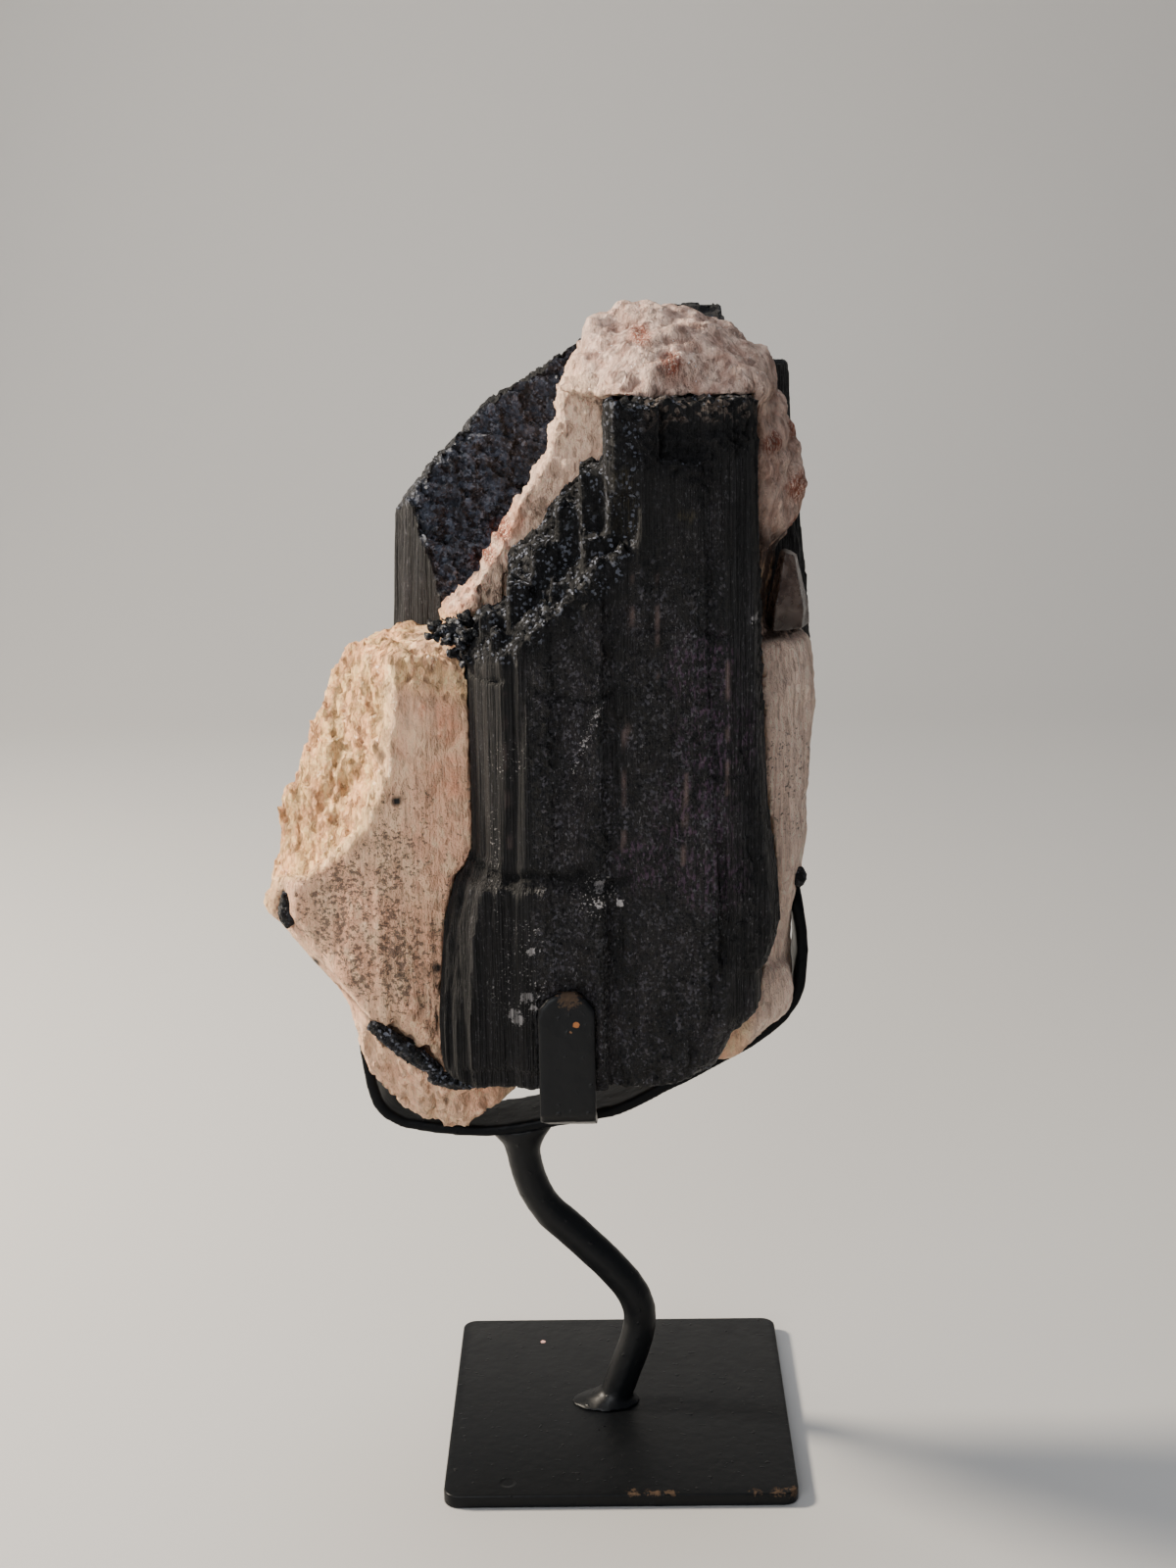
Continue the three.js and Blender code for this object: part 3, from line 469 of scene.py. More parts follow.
def feldspar_material(settings):
    """Pink and cream feldspar: flaky, grooved or knobbly by place, with dark specks and rust."""
    material, net = new_material("Pink feldspar")
    place = net.place()
    cap, speckled, grooved, sunny, strip, rugged = (
        net.mask(name) for name in ("cap", "speckled", "grooved", "sunny", "strip", "rugged"))
    tall = net.vector("MULTIPLY", place, (1.0, 1.0, 0.5))
    broad = net.noise(place, 0.06, 3.0)
    middle = net.noise(tall, 0.3, 4.0, 0.65)
    fine = net.noise(tall, 1.6, 3.0, 0.7)
    grains = net.facets(tall, 1.5)
    flakes = net.facets(tall, 2.8)
    slivers = net.facets(net.vector("MULTIPLY", place, (1.2, 1.0, 0.6)), 1.7)
    lines = net.lines(place, 1.5, 30.0)["Height"]
    furrows = net.lines(place, 2.6, 60.0)["Height"]
    # Dark orange-brown creases on the sunny facet: partly the stone's colour, partly painted shade.
    creases_and_shade = net.span(net.noise(tall, 0.55, 5.0, 0.75), 0.52, 0.4)
    dashes = net.noise(net.vector("MULTIPLY", place, (1.0, 1.0, 1.25)), 0.62, 4.0, 0.8)
    edge = net.minus(0.68, net.times(speckled, 0.18))
    specks = net.span(dashes, edge, net.plus(edge, 0.035))
    specks = net.times(specks, net.span(speckled, 0.0, 0.25))

    body = net.mix(net.span(broad, 0.36, 0.62), settings.feldspar_pink, settings.feldspar_cream)
    pale = net.mix(net.span(middle, 0.34, 0.6), (0.4, 0.24, 0.19), (0.79, 0.56, 0.46))
    # Golden tint for the sunny facet: partly the stone's warm colour, partly painted sunlight warmth.
    patchy = net.span(net.noise(tall, 0.17, 3.0, 0.7), 0.42, 0.56)
    golden = net.mix(patchy, (1.0, 0.5, 0.23), (1.0, 0.62, 0.27))
    body = net.layers(
        body,
        (net.span(middle, 0.48, 0.66), 1.0, (0.9, 0.66, 0.43)),
        (net.span(middle, 0.44, 0.3), 0.6, (0.58, 0.31, 0.21)),
        (cap, 0.9, pale),
        (net.mask("cream"), 0.8, (0.92, 0.63, 0.47)),
        (net.times(net.mask("salmon"), net.span(middle, 0.36, 0.6)), 1.0, (0.74, 0.3, 0.17)),
        (sunny, 0.9, golden),
        (net.times(sunny, creases_and_shade), 0.7, (0.6, 0.3, 0.12)),
        # The raised rim along the ridge is painted lighter: a painted highlight.
        (net.mask("rim"), 0.6, (1.0, 0.68, 0.37)),
        (grooved, 0.55, (1.0, 0.545, 0.34)),
        # The strip is lighter than the rest: its own pale pink, made lighter still with painted light.
        (strip, 0.8, (1.0, 0.77, 0.64)),
        # Darker in the valleys of the front facet's grooves and in the strip's furrows: painted shade.
        (net.times(grooved, net.span(lines, 0.5, 0.32)), 0.55, (0.42, 0.25, 0.18)),
        (net.times(strip, net.span(furrows, 0.5, 0.38)), 0.32, (0.42, 0.28, 0.21)),
        (specks, 0.8, (0.12, 0.08, 0.06)),
        # Brown in the hollows: rust in the cap's crevices, painted shade in the cracks of the sunny facet.
        (net.times(net.mask("hollow"), net.span(middle, 0.3, 0.6)), 0.75, (0.36, 0.17, 0.12)),
        (net.times(net.mask("rust"), net.span(fine, 0.36, 0.55)), 1.0, (0.3, 0.085, 0.045)),
        # Dark brown: painted shade round the quartz and in the deep grooves, and real smears.
        (net.times(net.mask("stain"), net.span(middle, 0.3, 0.55)), 1.0, (0.07, 0.038, 0.026)),
        (net.mask("dark"), 1.0, (0.006, 0.006, 0.007)),
    )
    tone = net.plus(0.8, net.times(net.plus(fine, grains["Shade"]), 0.26))
    # Each flake is painted a little lighter or darker, as if lit or shaded: painted light and shade on the
    # rugged places.
    flaky = net.times(rugged, net.minus(slivers["Shade"], 0.52))
    body = net.scaled(body, net.plus(tone, net.times(flaky, 0.6)))
    # White dots on the cap are painted glints.
    sparkle = net.times(net.span(net.noise(place, 1.3, 1.0), 0.735, 0.765), cap)
    sparkle = net.times(sparkle, net.span(broad, 0.4, 0.5))

    glint = net.span(grains["Shade"], 0.74, 0.95)
    ridged = net.plus(net.times(flakes["Height"], 1.4), slivers["Height"])
    relief = net.plus(net.times(grains["Height"], 1.6), net.times(fine, 1.3))
    for height, share in ((net.times(net.plus(ridged, middle), rugged), 2.4), (specks, -0.5),
                          (net.times(lines, grooved), 1.6)):
        relief = net.plus(relief, net.times(height, share))
    net.surface({
        "Base Color": net.mix(sparkle, body, (1.0, 0.97, 0.94)),
        "Roughness": net.minus(0.7, net.times(glint, 0.4)),
        "Subsurface Weight": 0.1,
        "Subsurface Radius": (1.0, 0.6, 0.4),
        "Subsurface Scale": 1.8 * MM,
        "Normal": net.bump(relief, 1.3 * MM, 1.0),
    })
    return material


def tourmaline_material(settings, name, mask_names, lift=0.6):
    """Black tourmaline: fluted and half glossy on its sides, granular and glinting where it is broken, with
    painted sheen, glints and shade.
    """
    material, net = new_material(name)
    place = net.place()
    masks = {key: net.mask(key) for key in mask_names}
    broken, lined, dull = masks["broken"], net.mask("lined"), net.mask("dull")
    whole = net.minus(1.0, broken)
    lines = net.lines(place, 0.5, 26.0)
    ribs = net.lines(place, 1.1, 45.0)["Height"]
    wide = net.lines(place, 2.4, 60.0)["Height"]
    grains = net.facets(place, 1.5)
    crumbs = net.facets(place, 0.7)
    tall = net.vector("MULTIPLY", place, (1.0, 1.0, 0.45))
    pits = net.noise(tall, 0.9, 4.0, 0.7)
    patches = net.noise(tall, 0.075, 3.0)
    cloud = net.noise(tall, 0.24, 4.0, 0.7)
    edge = net.minus(0.75, net.times(patches, 0.27))
    glint = net.span(net.noise(tall, 1.7, 3.0, 0.75), edge, net.plus(edge, 0.05))
    spread = net.span(lines["Height"], 0.38, 0.62)

    black = net.mix(net.span(patches, 0.4, 0.65), settings.crystal_black, (0.0085, 0.007, 0.0078))
    # Broken faces are bluish grey, lighter on some facets: painted sheen and glints, raised by lift where more
    # light falls.
    blue = tinted(settings.broken_sheen, lift)
    brown = net.times(whole, net.times(lines["Thin"], net.span(patches, 0.42, 0.6)))
    pitted = net.times(whole, net.minus(1.0, net.times(lined, 0.75)))
    cells = net.times(net.span(crumbs["Shade"], 0.7, 0.84), net.span(cloud, 0.4, 0.62))
    colour = net.layers(
        black,
        (broken, 0.85, net.mix(grains["Shade"], tinted(blue, 0.4), tinted(blue, 1.8))),
        (brown, 0.7, (0.065, 0.05, 0.053)),
        (net.times(pitted, cells), 0.85, (0.04, 0.037, 0.044)),
    )
    colour = net.scaled(colour, net.plus(0.45, net.times(net.span(cloud, 0.3, 0.7), 1.3)))
    for key, where, share, tint in (
            ("purple", net.span(net.noise(tall, 1.1, 3.0), 0.5, 0.64), 0.8, (0.075, 0.04, 0.07)),
            # Lighter grey on the flank's flute ridges: painted sheen.
            ("flank", spread, 0.6, (0.014, 0.013, 0.015)),
            ("olive", spread, 0.9, (0.085, 0.07, 0.038)),
            ("rust", spread, 0.8, (0.12, 0.036, 0.022)),
            ("streak", 1.0, 0.7, (0.15, 0.1, 0.09)),
            # Near black along the cracks and the bands between the flutes: painted shade.
            ("crack", 1.0, 0.85, (0.0008, 0.0008, 0.0008)),
    ):
        if key in masks:
            colour = net.layers(colour, (net.times(masks[key], where), share, tint))
    if "crusted" in masks:
        crust = net.times(masks["crusted"], net.span(grains["Shade"], 0.5, 0.56))
        crust_tint = net.mix(crumbs["Shade"], (0.06, 0.035, 0.026), (0.3, 0.24, 0.2))
        colour = net.mix(crust, colour, crust_tint)
    if "fleck" in masks:
        ragged = net.plus(net.noise(place, 0.6, 5.0, 0.8), net.times(masks["fleck"], 0.5))
        dots = net.span(net.noise(place, 1.5), 0.63, 0.67)
        dots = net.times(dots, net.span(masks["fleck"], 0.05, 0.3))
        colour = net.mix(net.larger(net.span(ragged, 0.93, 0.96), dots), colour, (0.46, 0.43, 0.42))
    # Painted glints, scattered in patches.
    colour = net.layers(colour, (glint, 0.8, (0.13, 0.125, 0.135)))
    # Darker and rougher in the flutes' furrows and in the shaded matt places: painted shade.
    furrows = net.times(net.times(lined, net.span(lines["Height"], 0.56, 0.42)), whole)
    for dark in (furrows, dull):
        colour = net.scaled(colour, net.minus(1.0, net.times(dark, 0.7)))
    # Painted glints on the broken faces.
    sparks = net.times(net.span(crumbs["Shade"], 0.81, 0.86), net.span(cloud, 0.38, 0.58))
    sparks = net.times(sparks, net.span(broken, 0.2, 0.6))
    colour = net.layers(colour, (sparks, 0.8, (0.14, 0.152, 0.188)))

    rough = net.plus(0.24, net.times(pits, 0.4))
    rough = net.plus(rough, net.times(net.larger(dull, furrows), 0.35))
    matt = net.minus(0.3, net.times(net.span(grains["Shade"], 0.7, 0.9), 0.3))
    fluted = net.plus(0.35, net.times(lined, 1.7))
    ribbed = net.plus(net.times(ribs, 1.6), lines["Height"])
    scars = net.plus(pits, net.times(crumbs["Height"], 0.7))
    sides = net.plus(net.times(ribbed, fluted), net.times(wide, 0.8))
    sides = net.plus(sides, net.times(scars, net.minus(2.2, fluted)))
    rubble = net.plus(net.times(grains["Height"], 3.4), net.times(crumbs["Height"], 1.4))
    height = net.plus(net.times(sides, whole), net.times(rubble, broken))
    net.surface({
        "Base Color": colour,
        "Roughness": net.plus(rough, net.times(broken, matt)),
        "IOR": 1.6,
        "Specular IOR Level": 0.26,
        "Normal": net.bump(height, 0.9 * MM, 0.85),
    })
    return material


def quartz_material():
    """Smoky quartz: brown, cloudy and partly clear."""
    material, net = new_material("Smoky quartz")
    place = net.place()
    cloud = net.noise(place, 0.22, 3.0)
    low = net.span(net.vector("DISTANCE", place, QUARTZ_FOOT), 13.0, 4.0)
    colour = net.mix(net.span(cloud, 0.35, 0.65), (0.1, 0.058, 0.042), (0.27, 0.2, 0.165))
    net.surface({
        "Base Color": net.mix(low, colour, (0.045, 0.024, 0.016)),
        "Roughness": net.plus(0.16, net.times(cloud, 0.24)),
        "IOR": 1.54,
        "Transmission Weight": 0.4,
        "Normal": net.bump(net.facets(place, 2.6)["Height"], 1.2 * MM, 0.6),
    })
    return material


def floor_material():
    """A plain pale surface with a faint unevenness."""
    material, net = new_material("Pale floor")
    cloud = net.noise(net.place(), 0.004)
    net.surface({"Base Color": net.mix(cloud, tinted(FLOOR_COLOUR, 0.97), FLOOR_COLOUR), "Roughness": 0.6})
    return material


# Settings

def number(name, text, value, **limits):
    return bpy.props.FloatProperty(name=name, description=text, default=value, **limits)


def colour(name, text, value):
    return bpy.props.FloatVectorProperty(
        name=name, description=text, default=value, size=3, subtype="COLOR", min=0.0, max=1.0)


class MineralSettings(bpy.types.PropertyGroup):
    """Finishes and the fineness of the stone."""

    stone_voxel: number(
        "Feldspar detail", "Size of the feldspar's faces", 1.15 * MM, min=0.8 * MM, max=4 * MM, unit="LENGTH")
    crystal_voxel: number(
        "Crystal detail", "Size of the crystals' faces", 0.9 * MM, min=0.7 * MM, max=4 * MM, unit="LENGTH")
    paint_colour: colour("Paint", "Colour of the painted stand", (0.0036, 0.0041, 0.0048))
    feldspar_pink: colour("Feldspar pink", "Pinker colour of the feldspar", (0.88, 0.49, 0.31))
    feldspar_cream: colour("Feldspar cream", "Lighter colour of the feldspar", (0.9, 0.61, 0.39))
    crystal_black: colour("Crystal black", "Colour of the crystals' sides", (0.0024, 0.0024, 0.0029))
    # The bluish grey of broken crystal: painted sheen.
    broken_sheen: colour("Broken crystal", "Colour of the broken crystal", (0.0078, 0.0088, 0.012))


class StageSettings(bpy.types.PropertyGroup):
    """Camera and light."""

    focal_length: number("Focal length", "Lens for a 36 mm long side", 50.63, min=20, max=200, unit="CAMERA")
    camera_height: number("Camera height", "Height of the camera over the table", 0.3565, unit="LENGTH")
    camera_distance: number("Camera distance", "Distance in front of the stand", 0.595, unit="LENGTH")
    camera_pitch: number(
        "Camera pitch", "How far the camera looks down", math.radians(15.02), subtype="ANGLE", unit="ROTATION")
    key_power: number("Key light", "Power of the light from the left, in watts", 33.0, min=0.0)
    top_power: number("Top light", "Power of the light overhead, in watts", 9.0, min=0.0)
    fill_power: number("Fill light", "Power of the light from the front, in watts", 9.0, min=0.0)


# Pieces

class MINERAL_OT_base_plate(bpy.types.Operator):
    """Build the square plate with its rounded corners, dent and rusty front edge"""

    bl_idname = "mineral.base_plate"
    bl_label = "Base plate"

    def execute(self, context):
        low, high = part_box("base_plate")
        mesh = bpy.data.meshes.new("base_plate_painted")
        plate = bmesh.new()
        bmesh.ops.create_cube(plate, size=1.0)
        bmesh.ops.scale(plate, vec=high - low, verts=plate.verts)
        bmesh.ops.translate(plate, vec=(high + low) / 2, verts=plate.verts)
        corners = [edge for edge in plate.edges
                   if abs(edge.verts[0].co.z - edge.verts[1].co.z) > (high.z - low.z) / 2]
        self.round_edges(plate, corners, PLATE_CORNER, 5)
        rims = [edge for edge in plate.edges
                if abs(edge.verts[0].co.z - edge.verts[1].co.z) < 0.1 * MM
                and sum(abs(face.normal.z) > 0.5 for face in edge.link_faces) == 1]
        self.round_edges(plate, rims, PLATE_RIM, 3)
        plate.to_mesh(mesh)
        plate.free()
        piece = new_piece("base_plate_painted", mesh)
        smooth(piece)
        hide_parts("base_plate")
        piece.data.materials.append(painted_steel(context.scene.mineral, PLATE_RUST, PLATE_MARKS, PLATE_DENT))
        return {"FINISHED"}

    def round_edges(self, plate, edges, radius, segments):
        bmesh.ops.bevel(plate, geom=edges, offset=radius * MM, offset_type="OFFSET", affect="EDGES",
                        segments=segments, profile=0.5, material=-1)


class MINERAL_OT_stand(bpy.types.Operator):
    """Build the bent rod with its welds, the cradle bar and the front finger"""

    bl_idname = "mineral.stand"
    bl_label = "Rod, cradle and finger"

    def execute(self, context):
        settings = context.scene.mineral
        self.build("stand_rod_welded", "stand_rod", 0.7, 12, painted_steel(settings, gloss=0.2))
        self.build("cradle_bar_forged", "cradle_bar", 0.75, 5, painted_steel(settings, gloss=0.08))
        self.build("front_finger_worn", "front_finger", 0.6, 4,
                   painted_steel(settings, FINGER_RUST, FINGER_MARKS, gloss=0.22))
        return {"FINISHED"}

    def build(self, name, node, voxel, rounds, paint):
        piece = copy_of_node(name, node)
        remesh(piece, voxel, rounds)
        points, normals = read_points(piece)
        waver = 0.12 * field(points, 7, 3.1) + 0.05 * field(points, 2.2, 5.2)
        points += normals * waver[:, None]
        if node == "stand_rod":
            points[:, 0] += 0.5 * step(5, 9, points[:, 2]) * fall(76, 86, points[:, 2])
            points[:, 0] += 0.5 * np.exp(-((points[:, 2] - ROD_BULGE) / 6.0) ** 2)
        finish_piece(piece, points, paint)


class MINERAL_OT_feldspar(bpy.types.Operator):
    """Build the feldspar: flaky on the left, grooved in front, knobbly at the cap"""

    bl_idname = "mineral.feldspar"
    bl_label = "Feldspar"

    def execute(self, context):
        settings = context.scene.mineral
        piece = copy_of_node("feldspar_rough", "feldspar")
        remesh(piece, settings.stone_voxel / MM, 3)
        points, normals = read_points(piece)
        x, _, z = points.T
        facing = -normals[:, 1]
        ahead = step(0.2, 0.5, facing)

        ridge = np.interp(z, *zip(*RIDGE))
        left = fall(-38, -32, x)
        sunny = left * fall(-3, 2, x - ridge) * step(146, 176, z)
        sunny = np.maximum(sunny, left * step(226, 232, z + 0.25 * (x + 50)) * fall(246, 250, z))
        front = left * (1 - sunny) * step(0.25, 0.6, facing) * fall(232, 238, z)
        strip = step(36, 40, x) * fall(243, 247, z) * step(0.1, 0.4, facing + normals[:, 0])
        cap = step(290, 302, z + 0.5 * (x - 20)) * step(-16, -4, x)
        cap = np.maximum(cap, step(258, 268, z) * step(30, 36, x))
        cream = (1 - cap) * step(240, 250, z) * fall(8, 20, x)
        wedge = left * fall(136, 142, z - 0.6 * (x + 60))
        # The rim along the ridge is raised, and the material paints it lighter as a highlight.
        rim = fall(0.5, 4, np.abs(x - ridge + 1.5 + 1.5 * field(points, 6, 3)))
        rim = rim * left * step(150, 160, z)

        flakes, cracks = facets(points, 3.6, 2, 1.9)
        chips, _ = facets(points, 2.1, 9, 1.4)
        plates, _ = facets(points, 7.5, 27, 1.5)
        slabs, splits = facets(points, 6.5, 12, 2.4, 0.8)
        lumps = np.abs(field(points, 9.5, 4)) + 0.5 * np.abs(field(points, 4.4, 8))
        grooves = field(points, 2.1, 6, 34) + 0.6 * field(points, 4.6, 1, 60)
        swell = 0.9 * field(points, 10, 5, 1.6) - 0.5
        folds = 0.9 * field(points, 8, 22, 5) - 0.8
        push = 0.35 * field(points, 11, 1) + 0.12 * chips
        push += sunny * (0.3 * flakes + 0.12 * chips + 0.16 * plates + swell - 0.25 * fall(0, 0.09, cracks))
        push += cream * (0.3 * flakes + 0.3 * chips + 0.9 * field(points, 6, 15) - 0.2)
        push += wedge * (folds + 0.35 * slabs + 0.25 * chips - 0.2 * fall(0, 0.08, splits))
        push += cap * (2.6 * lumps - 0.8 + 0.15 * flakes)
        push += (front + strip) * 0.36 * grooves + 0.8 * rim
        # The deep grooves are pushed in, and a little painted shade darkens them.
        deep_groove = np.zeros(len(points))
        for column, low, high in GROOVE_COLUMNS:
            nearness = fall(0.3, 1.5, np.abs(x - column - 0.5 * np.sin(z / 9)))
            nearness *= front * step(low, low + 6, z) * fall(high - 8, high, z)
            deep_groove = np.maximum(deep_groove, nearness)
            push -= 0.8 * nearness
        seam = fall(0.4, 1.3, np.abs((x + 73) * 0.56 + (z - 140.5) * 0.83)) * left * fall(-50, -47, x) * ahead
        push -= 0.7 * seam
        speckled = front * fall(200, 222, z) * step(128, 136, z)
        speckled *= 0.95 + 0.7 * field(points, 3, 9, 14)
        speckled *= 0.5 + 0.5 * spots(points, STONE["speckled"])
        speckled = np.maximum(speckled, strip * (0.15 + 0.45 * spots(points, STONE["strip"])))
        pits = field(points, 1.9, 7) + 0.5 * field(points, 1, 3)
        push -= speckled * 0.45 * step(0.25, 0.6, pits)

        salmon = np.max([front * spots(points, STONE["salmon"]), 0.6 * spots(points, STONE["pink"]),
                         strip * spots(points, STONE["orange"])], axis=0)
        smear = spots(points, STONE["smear"]) * ahead
        # Dark brown column round the quartz: painted shade.
        stain = step(36, 40, x) * step(238.5, 240.5, z) * fall(266, 272, z)
        finish_piece(
            piece, points + normals * push[:, None], feldspar_material(settings),
            cap=cap, speckled=speckled, grooved=0.75 * front + strip,
            # Hollows: the cap's rusty crevices, and the sunny facet's cracks, which get painted shade.
            hollow=cap * fall(0.05, 0.22, lumps) + 0.5 * sunny * fall(0.02, 0.08, cracks), cream=cream,
            salmon=salmon, rust=spots(points, STONE["rust"]),
            stain=np.max([stain, 0.5 * smear, 0.3 * deep_groove], axis=0),
            dark=np.maximum(spots(points, STONE["dark"]) * ahead, 0.75 * seam),
            # The sunny tint is halved on the upper ledge, which lies in shade: the tint is partly painted
            # sunlight.
            sunny=sunny * (1 - 0.5 * step(-58, -50, x) * step(222, 230, z)),
            rim=rim * fall(236, 240, z), strip=strip,
            rugged=np.max([sunny, 0.5 * cap, 0.7 * cream, 0.8 * wedge], axis=0))
        return {"FINISHED"}


def fluted_relief(points, flank):
    """Height of the flutes, grooves and pits on a crystal's sides."""
    flutes = field(points, 1.25, 2, 90)
    wide = field(points, 4.2, 5, 70)
    grooves = fall(0, 0.09, np.abs(field(points, 9, 8, 40)))
    patches = step(-0.1, 0.35, field(points, 15, 4, 1.8))
    pits, _ = facets(points, 2, 6, 1.7)
    relief = (0.16 + 0.26 * flank) * flutes + 0.3 * wide - 0.45 * grooves
    return relief + (1.0 - flank) * (0.25 + 0.75 * patches) * 0.42 * pits


def broken_relief(points):
    """Height of the granular, stepped surface where a crystal is broken across."""
    x, y, _ = points.T
    blocks = 2.6 * columns(x + 0.2 * y, y, 4.4, 1) + 1.2 * columns(x - 0.3 * y, y, 2.3, 2) - 1.9
    crumbs, cracks = facets(points, 2.7, 3)
    return 0.7 * blocks + 0.5 * crumbs - 0.4 * fall(0, 0.1, cracks)


class MINERAL_OT_front_crystal(bpy.types.Operator):
    """Build the large front crystal with its flutes, ledges and broken shoulder"""

    bl_idname = "mineral.front_crystal"
    bl_label = "Front crystal"

    def execute(self, context):
        settings = context.scene.mineral
        piece = copy_of_node("front_tourmaline_fluted", "front_tourmaline")
        remesh(piece, settings.crystal_voxel / MM)
        points, normals = read_points(piece)
        x, _, z = points.T
        ahead = step(0.2, 0.5, -normals[:, 1])
        upright = np.abs(normals[:, 2])
        flank = fall(-24, -19, x)

        lip = z - np.interp(x, *zip(*SHOULDER)) + 3 + 3 * field(points, 5, 2)
        above = step(-1.5, 1.5, lip) * fall(-2, 3, x - 9)
        above = np.maximum(above, step(300, 304, z) * step(0.3, 0.6, normals[:, 2]))
        ledges = step(150, 154, z) * fall(196, 200, z)
        broken = above * (0.45 + 0.55 * step(0.15, 0.5, normals[:, 2])) + step(0.5, 0.8, upright) * (1 - ledges)
        broken = np.clip(broken, 0, 1)
        cracks = ahead * np.max([depth * near_line(points, *line) for depth, *line in CRACKS], axis=0)
        bands = np.max([near_line(points, *line) for line in BANDS], axis=0)
        bands *= ahead * step(-0.25, 0.15, field(points, 9, 20, 2))

        side = fluted_relief(points, flank) * (1 - broken) * fall(0.4, 0.8, upright)
        side -= 0.9 * cracks + 0.5 * bands
        rough = broken_relief(points) * broken
        top = step(0.2, 0.6, normals[:, 2])
        moved = points + normals * side[:, None] * SIDEWAYS
        moved[:, 2] += rough * top * step(200, 230, z)
        moved += normals * (0.45 * rough * (1 - top))[:, None]
        chips, _ = facets(points, 2.2, 11)
        moved += normals * (spots(points, CRYSTAL["knocked"]) * ahead * (0.9 * chips - 0.5))[:, None]

        flecks = np.max([spots(points, CRYSTAL["fleck"]), 0.3 * spots(points, CRYSTAL["fleck fields"]),
                         0.8 * near_line(points, SCRATCH, 1.6), 0.25 * near_line(points, FLANK_BORDER, 2.6)],
                        axis=0)
        streaks = np.max([near_line(points, line, 0.75) for line in STREAKS], axis=0)
        lined = flank + step(29, 31, x) + 0.6 * step(266, 274, z)
        # Darker, rougher places: painted shade on the upper column, the foot, the flank, along the ledge and
        # the broken shoulder.
        dull = np.max([0.8 * step(235, 285, z), fall(-40, -36.5, x) * fall(180, 184, z),
                       0.6 * flank * (1 - broken), 0.9 * near_line(points, LEDGE, 3.6),
                       0.95 * near_line(points, SHOULDER, 9), above], axis=0)
        masks = {
            "lined": lined + 0.8 * spots(points, CRYSTAL["lined"]),
            "broken": broken,
            "flank": flank * (1 - broken) * (1 - step(186, 196, z) * 0.4),
            "purple": spots(points, CRYSTAL["purple"]),
            "olive": spots(points, CRYSTAL["olive"]) * step(0.3, 0.7, -normals[:, 1]),
            "fleck": flecks,
            "crusted": step(299, 301.5, z + 3 * field(points, 4, 31)) * step(6, 12, x),
            # Cracks and the bands between the flutes are painted darker: painted shade.
            "crack": np.maximum(1.1 * cracks, 0.8 * bands),
            "streak": streaks * step(-0.2, 0.3, field(points, 5, 41)) * ahead,
        }
        black = tourmaline_material(settings, "Front tourmaline", masks)
        finish_piece(piece, moved, black, dull=dull, **masks)
        self.shoulder_crumbs(settings)
        return {"FINISHED"}

    def shoulder_crumbs(self, settings):
        """Crumbs of crystal on the feldspar at the left end of the broken shoulder."""
        mesh = bpy.data.meshes.new("shoulder_crumbs")
        pile = bmesh.new()
        for i, (x, y, z, size) in enumerate(CRUMBS):
            turn = Matrix.Rotation(1.3 * i, 4, "Z") @ Matrix.Rotation(0.9 * i, 4, "X")
            shape = Matrix.Diagonal((1.25 * size * MM, 0.9 * size * MM, 0.75 * size * MM, 1.0))
            bmesh.ops.create_icosphere(pile, subdivisions=2, radius=1.0,
                                       matrix=Matrix.Translation(Vector((x, y, z)) * MM) @ turn @ shape)
        pile.to_mesh(mesh)
        pile.free()
        piece = new_piece("shoulder_crumbs", mesh)
        remesh(piece, 0.4)
        points, normals = read_points(piece)
        chips, cracks = facets(points, 2.1, 4)
        push = 1.3 * chips - 0.4 * fall(0, 0.12, cracks)
        black = tourmaline_material(settings, "Tourmaline crumbs", ("broken",))
        finish_piece(piece, points + normals * push[:, None], black, broken=np.ones(len(points)))


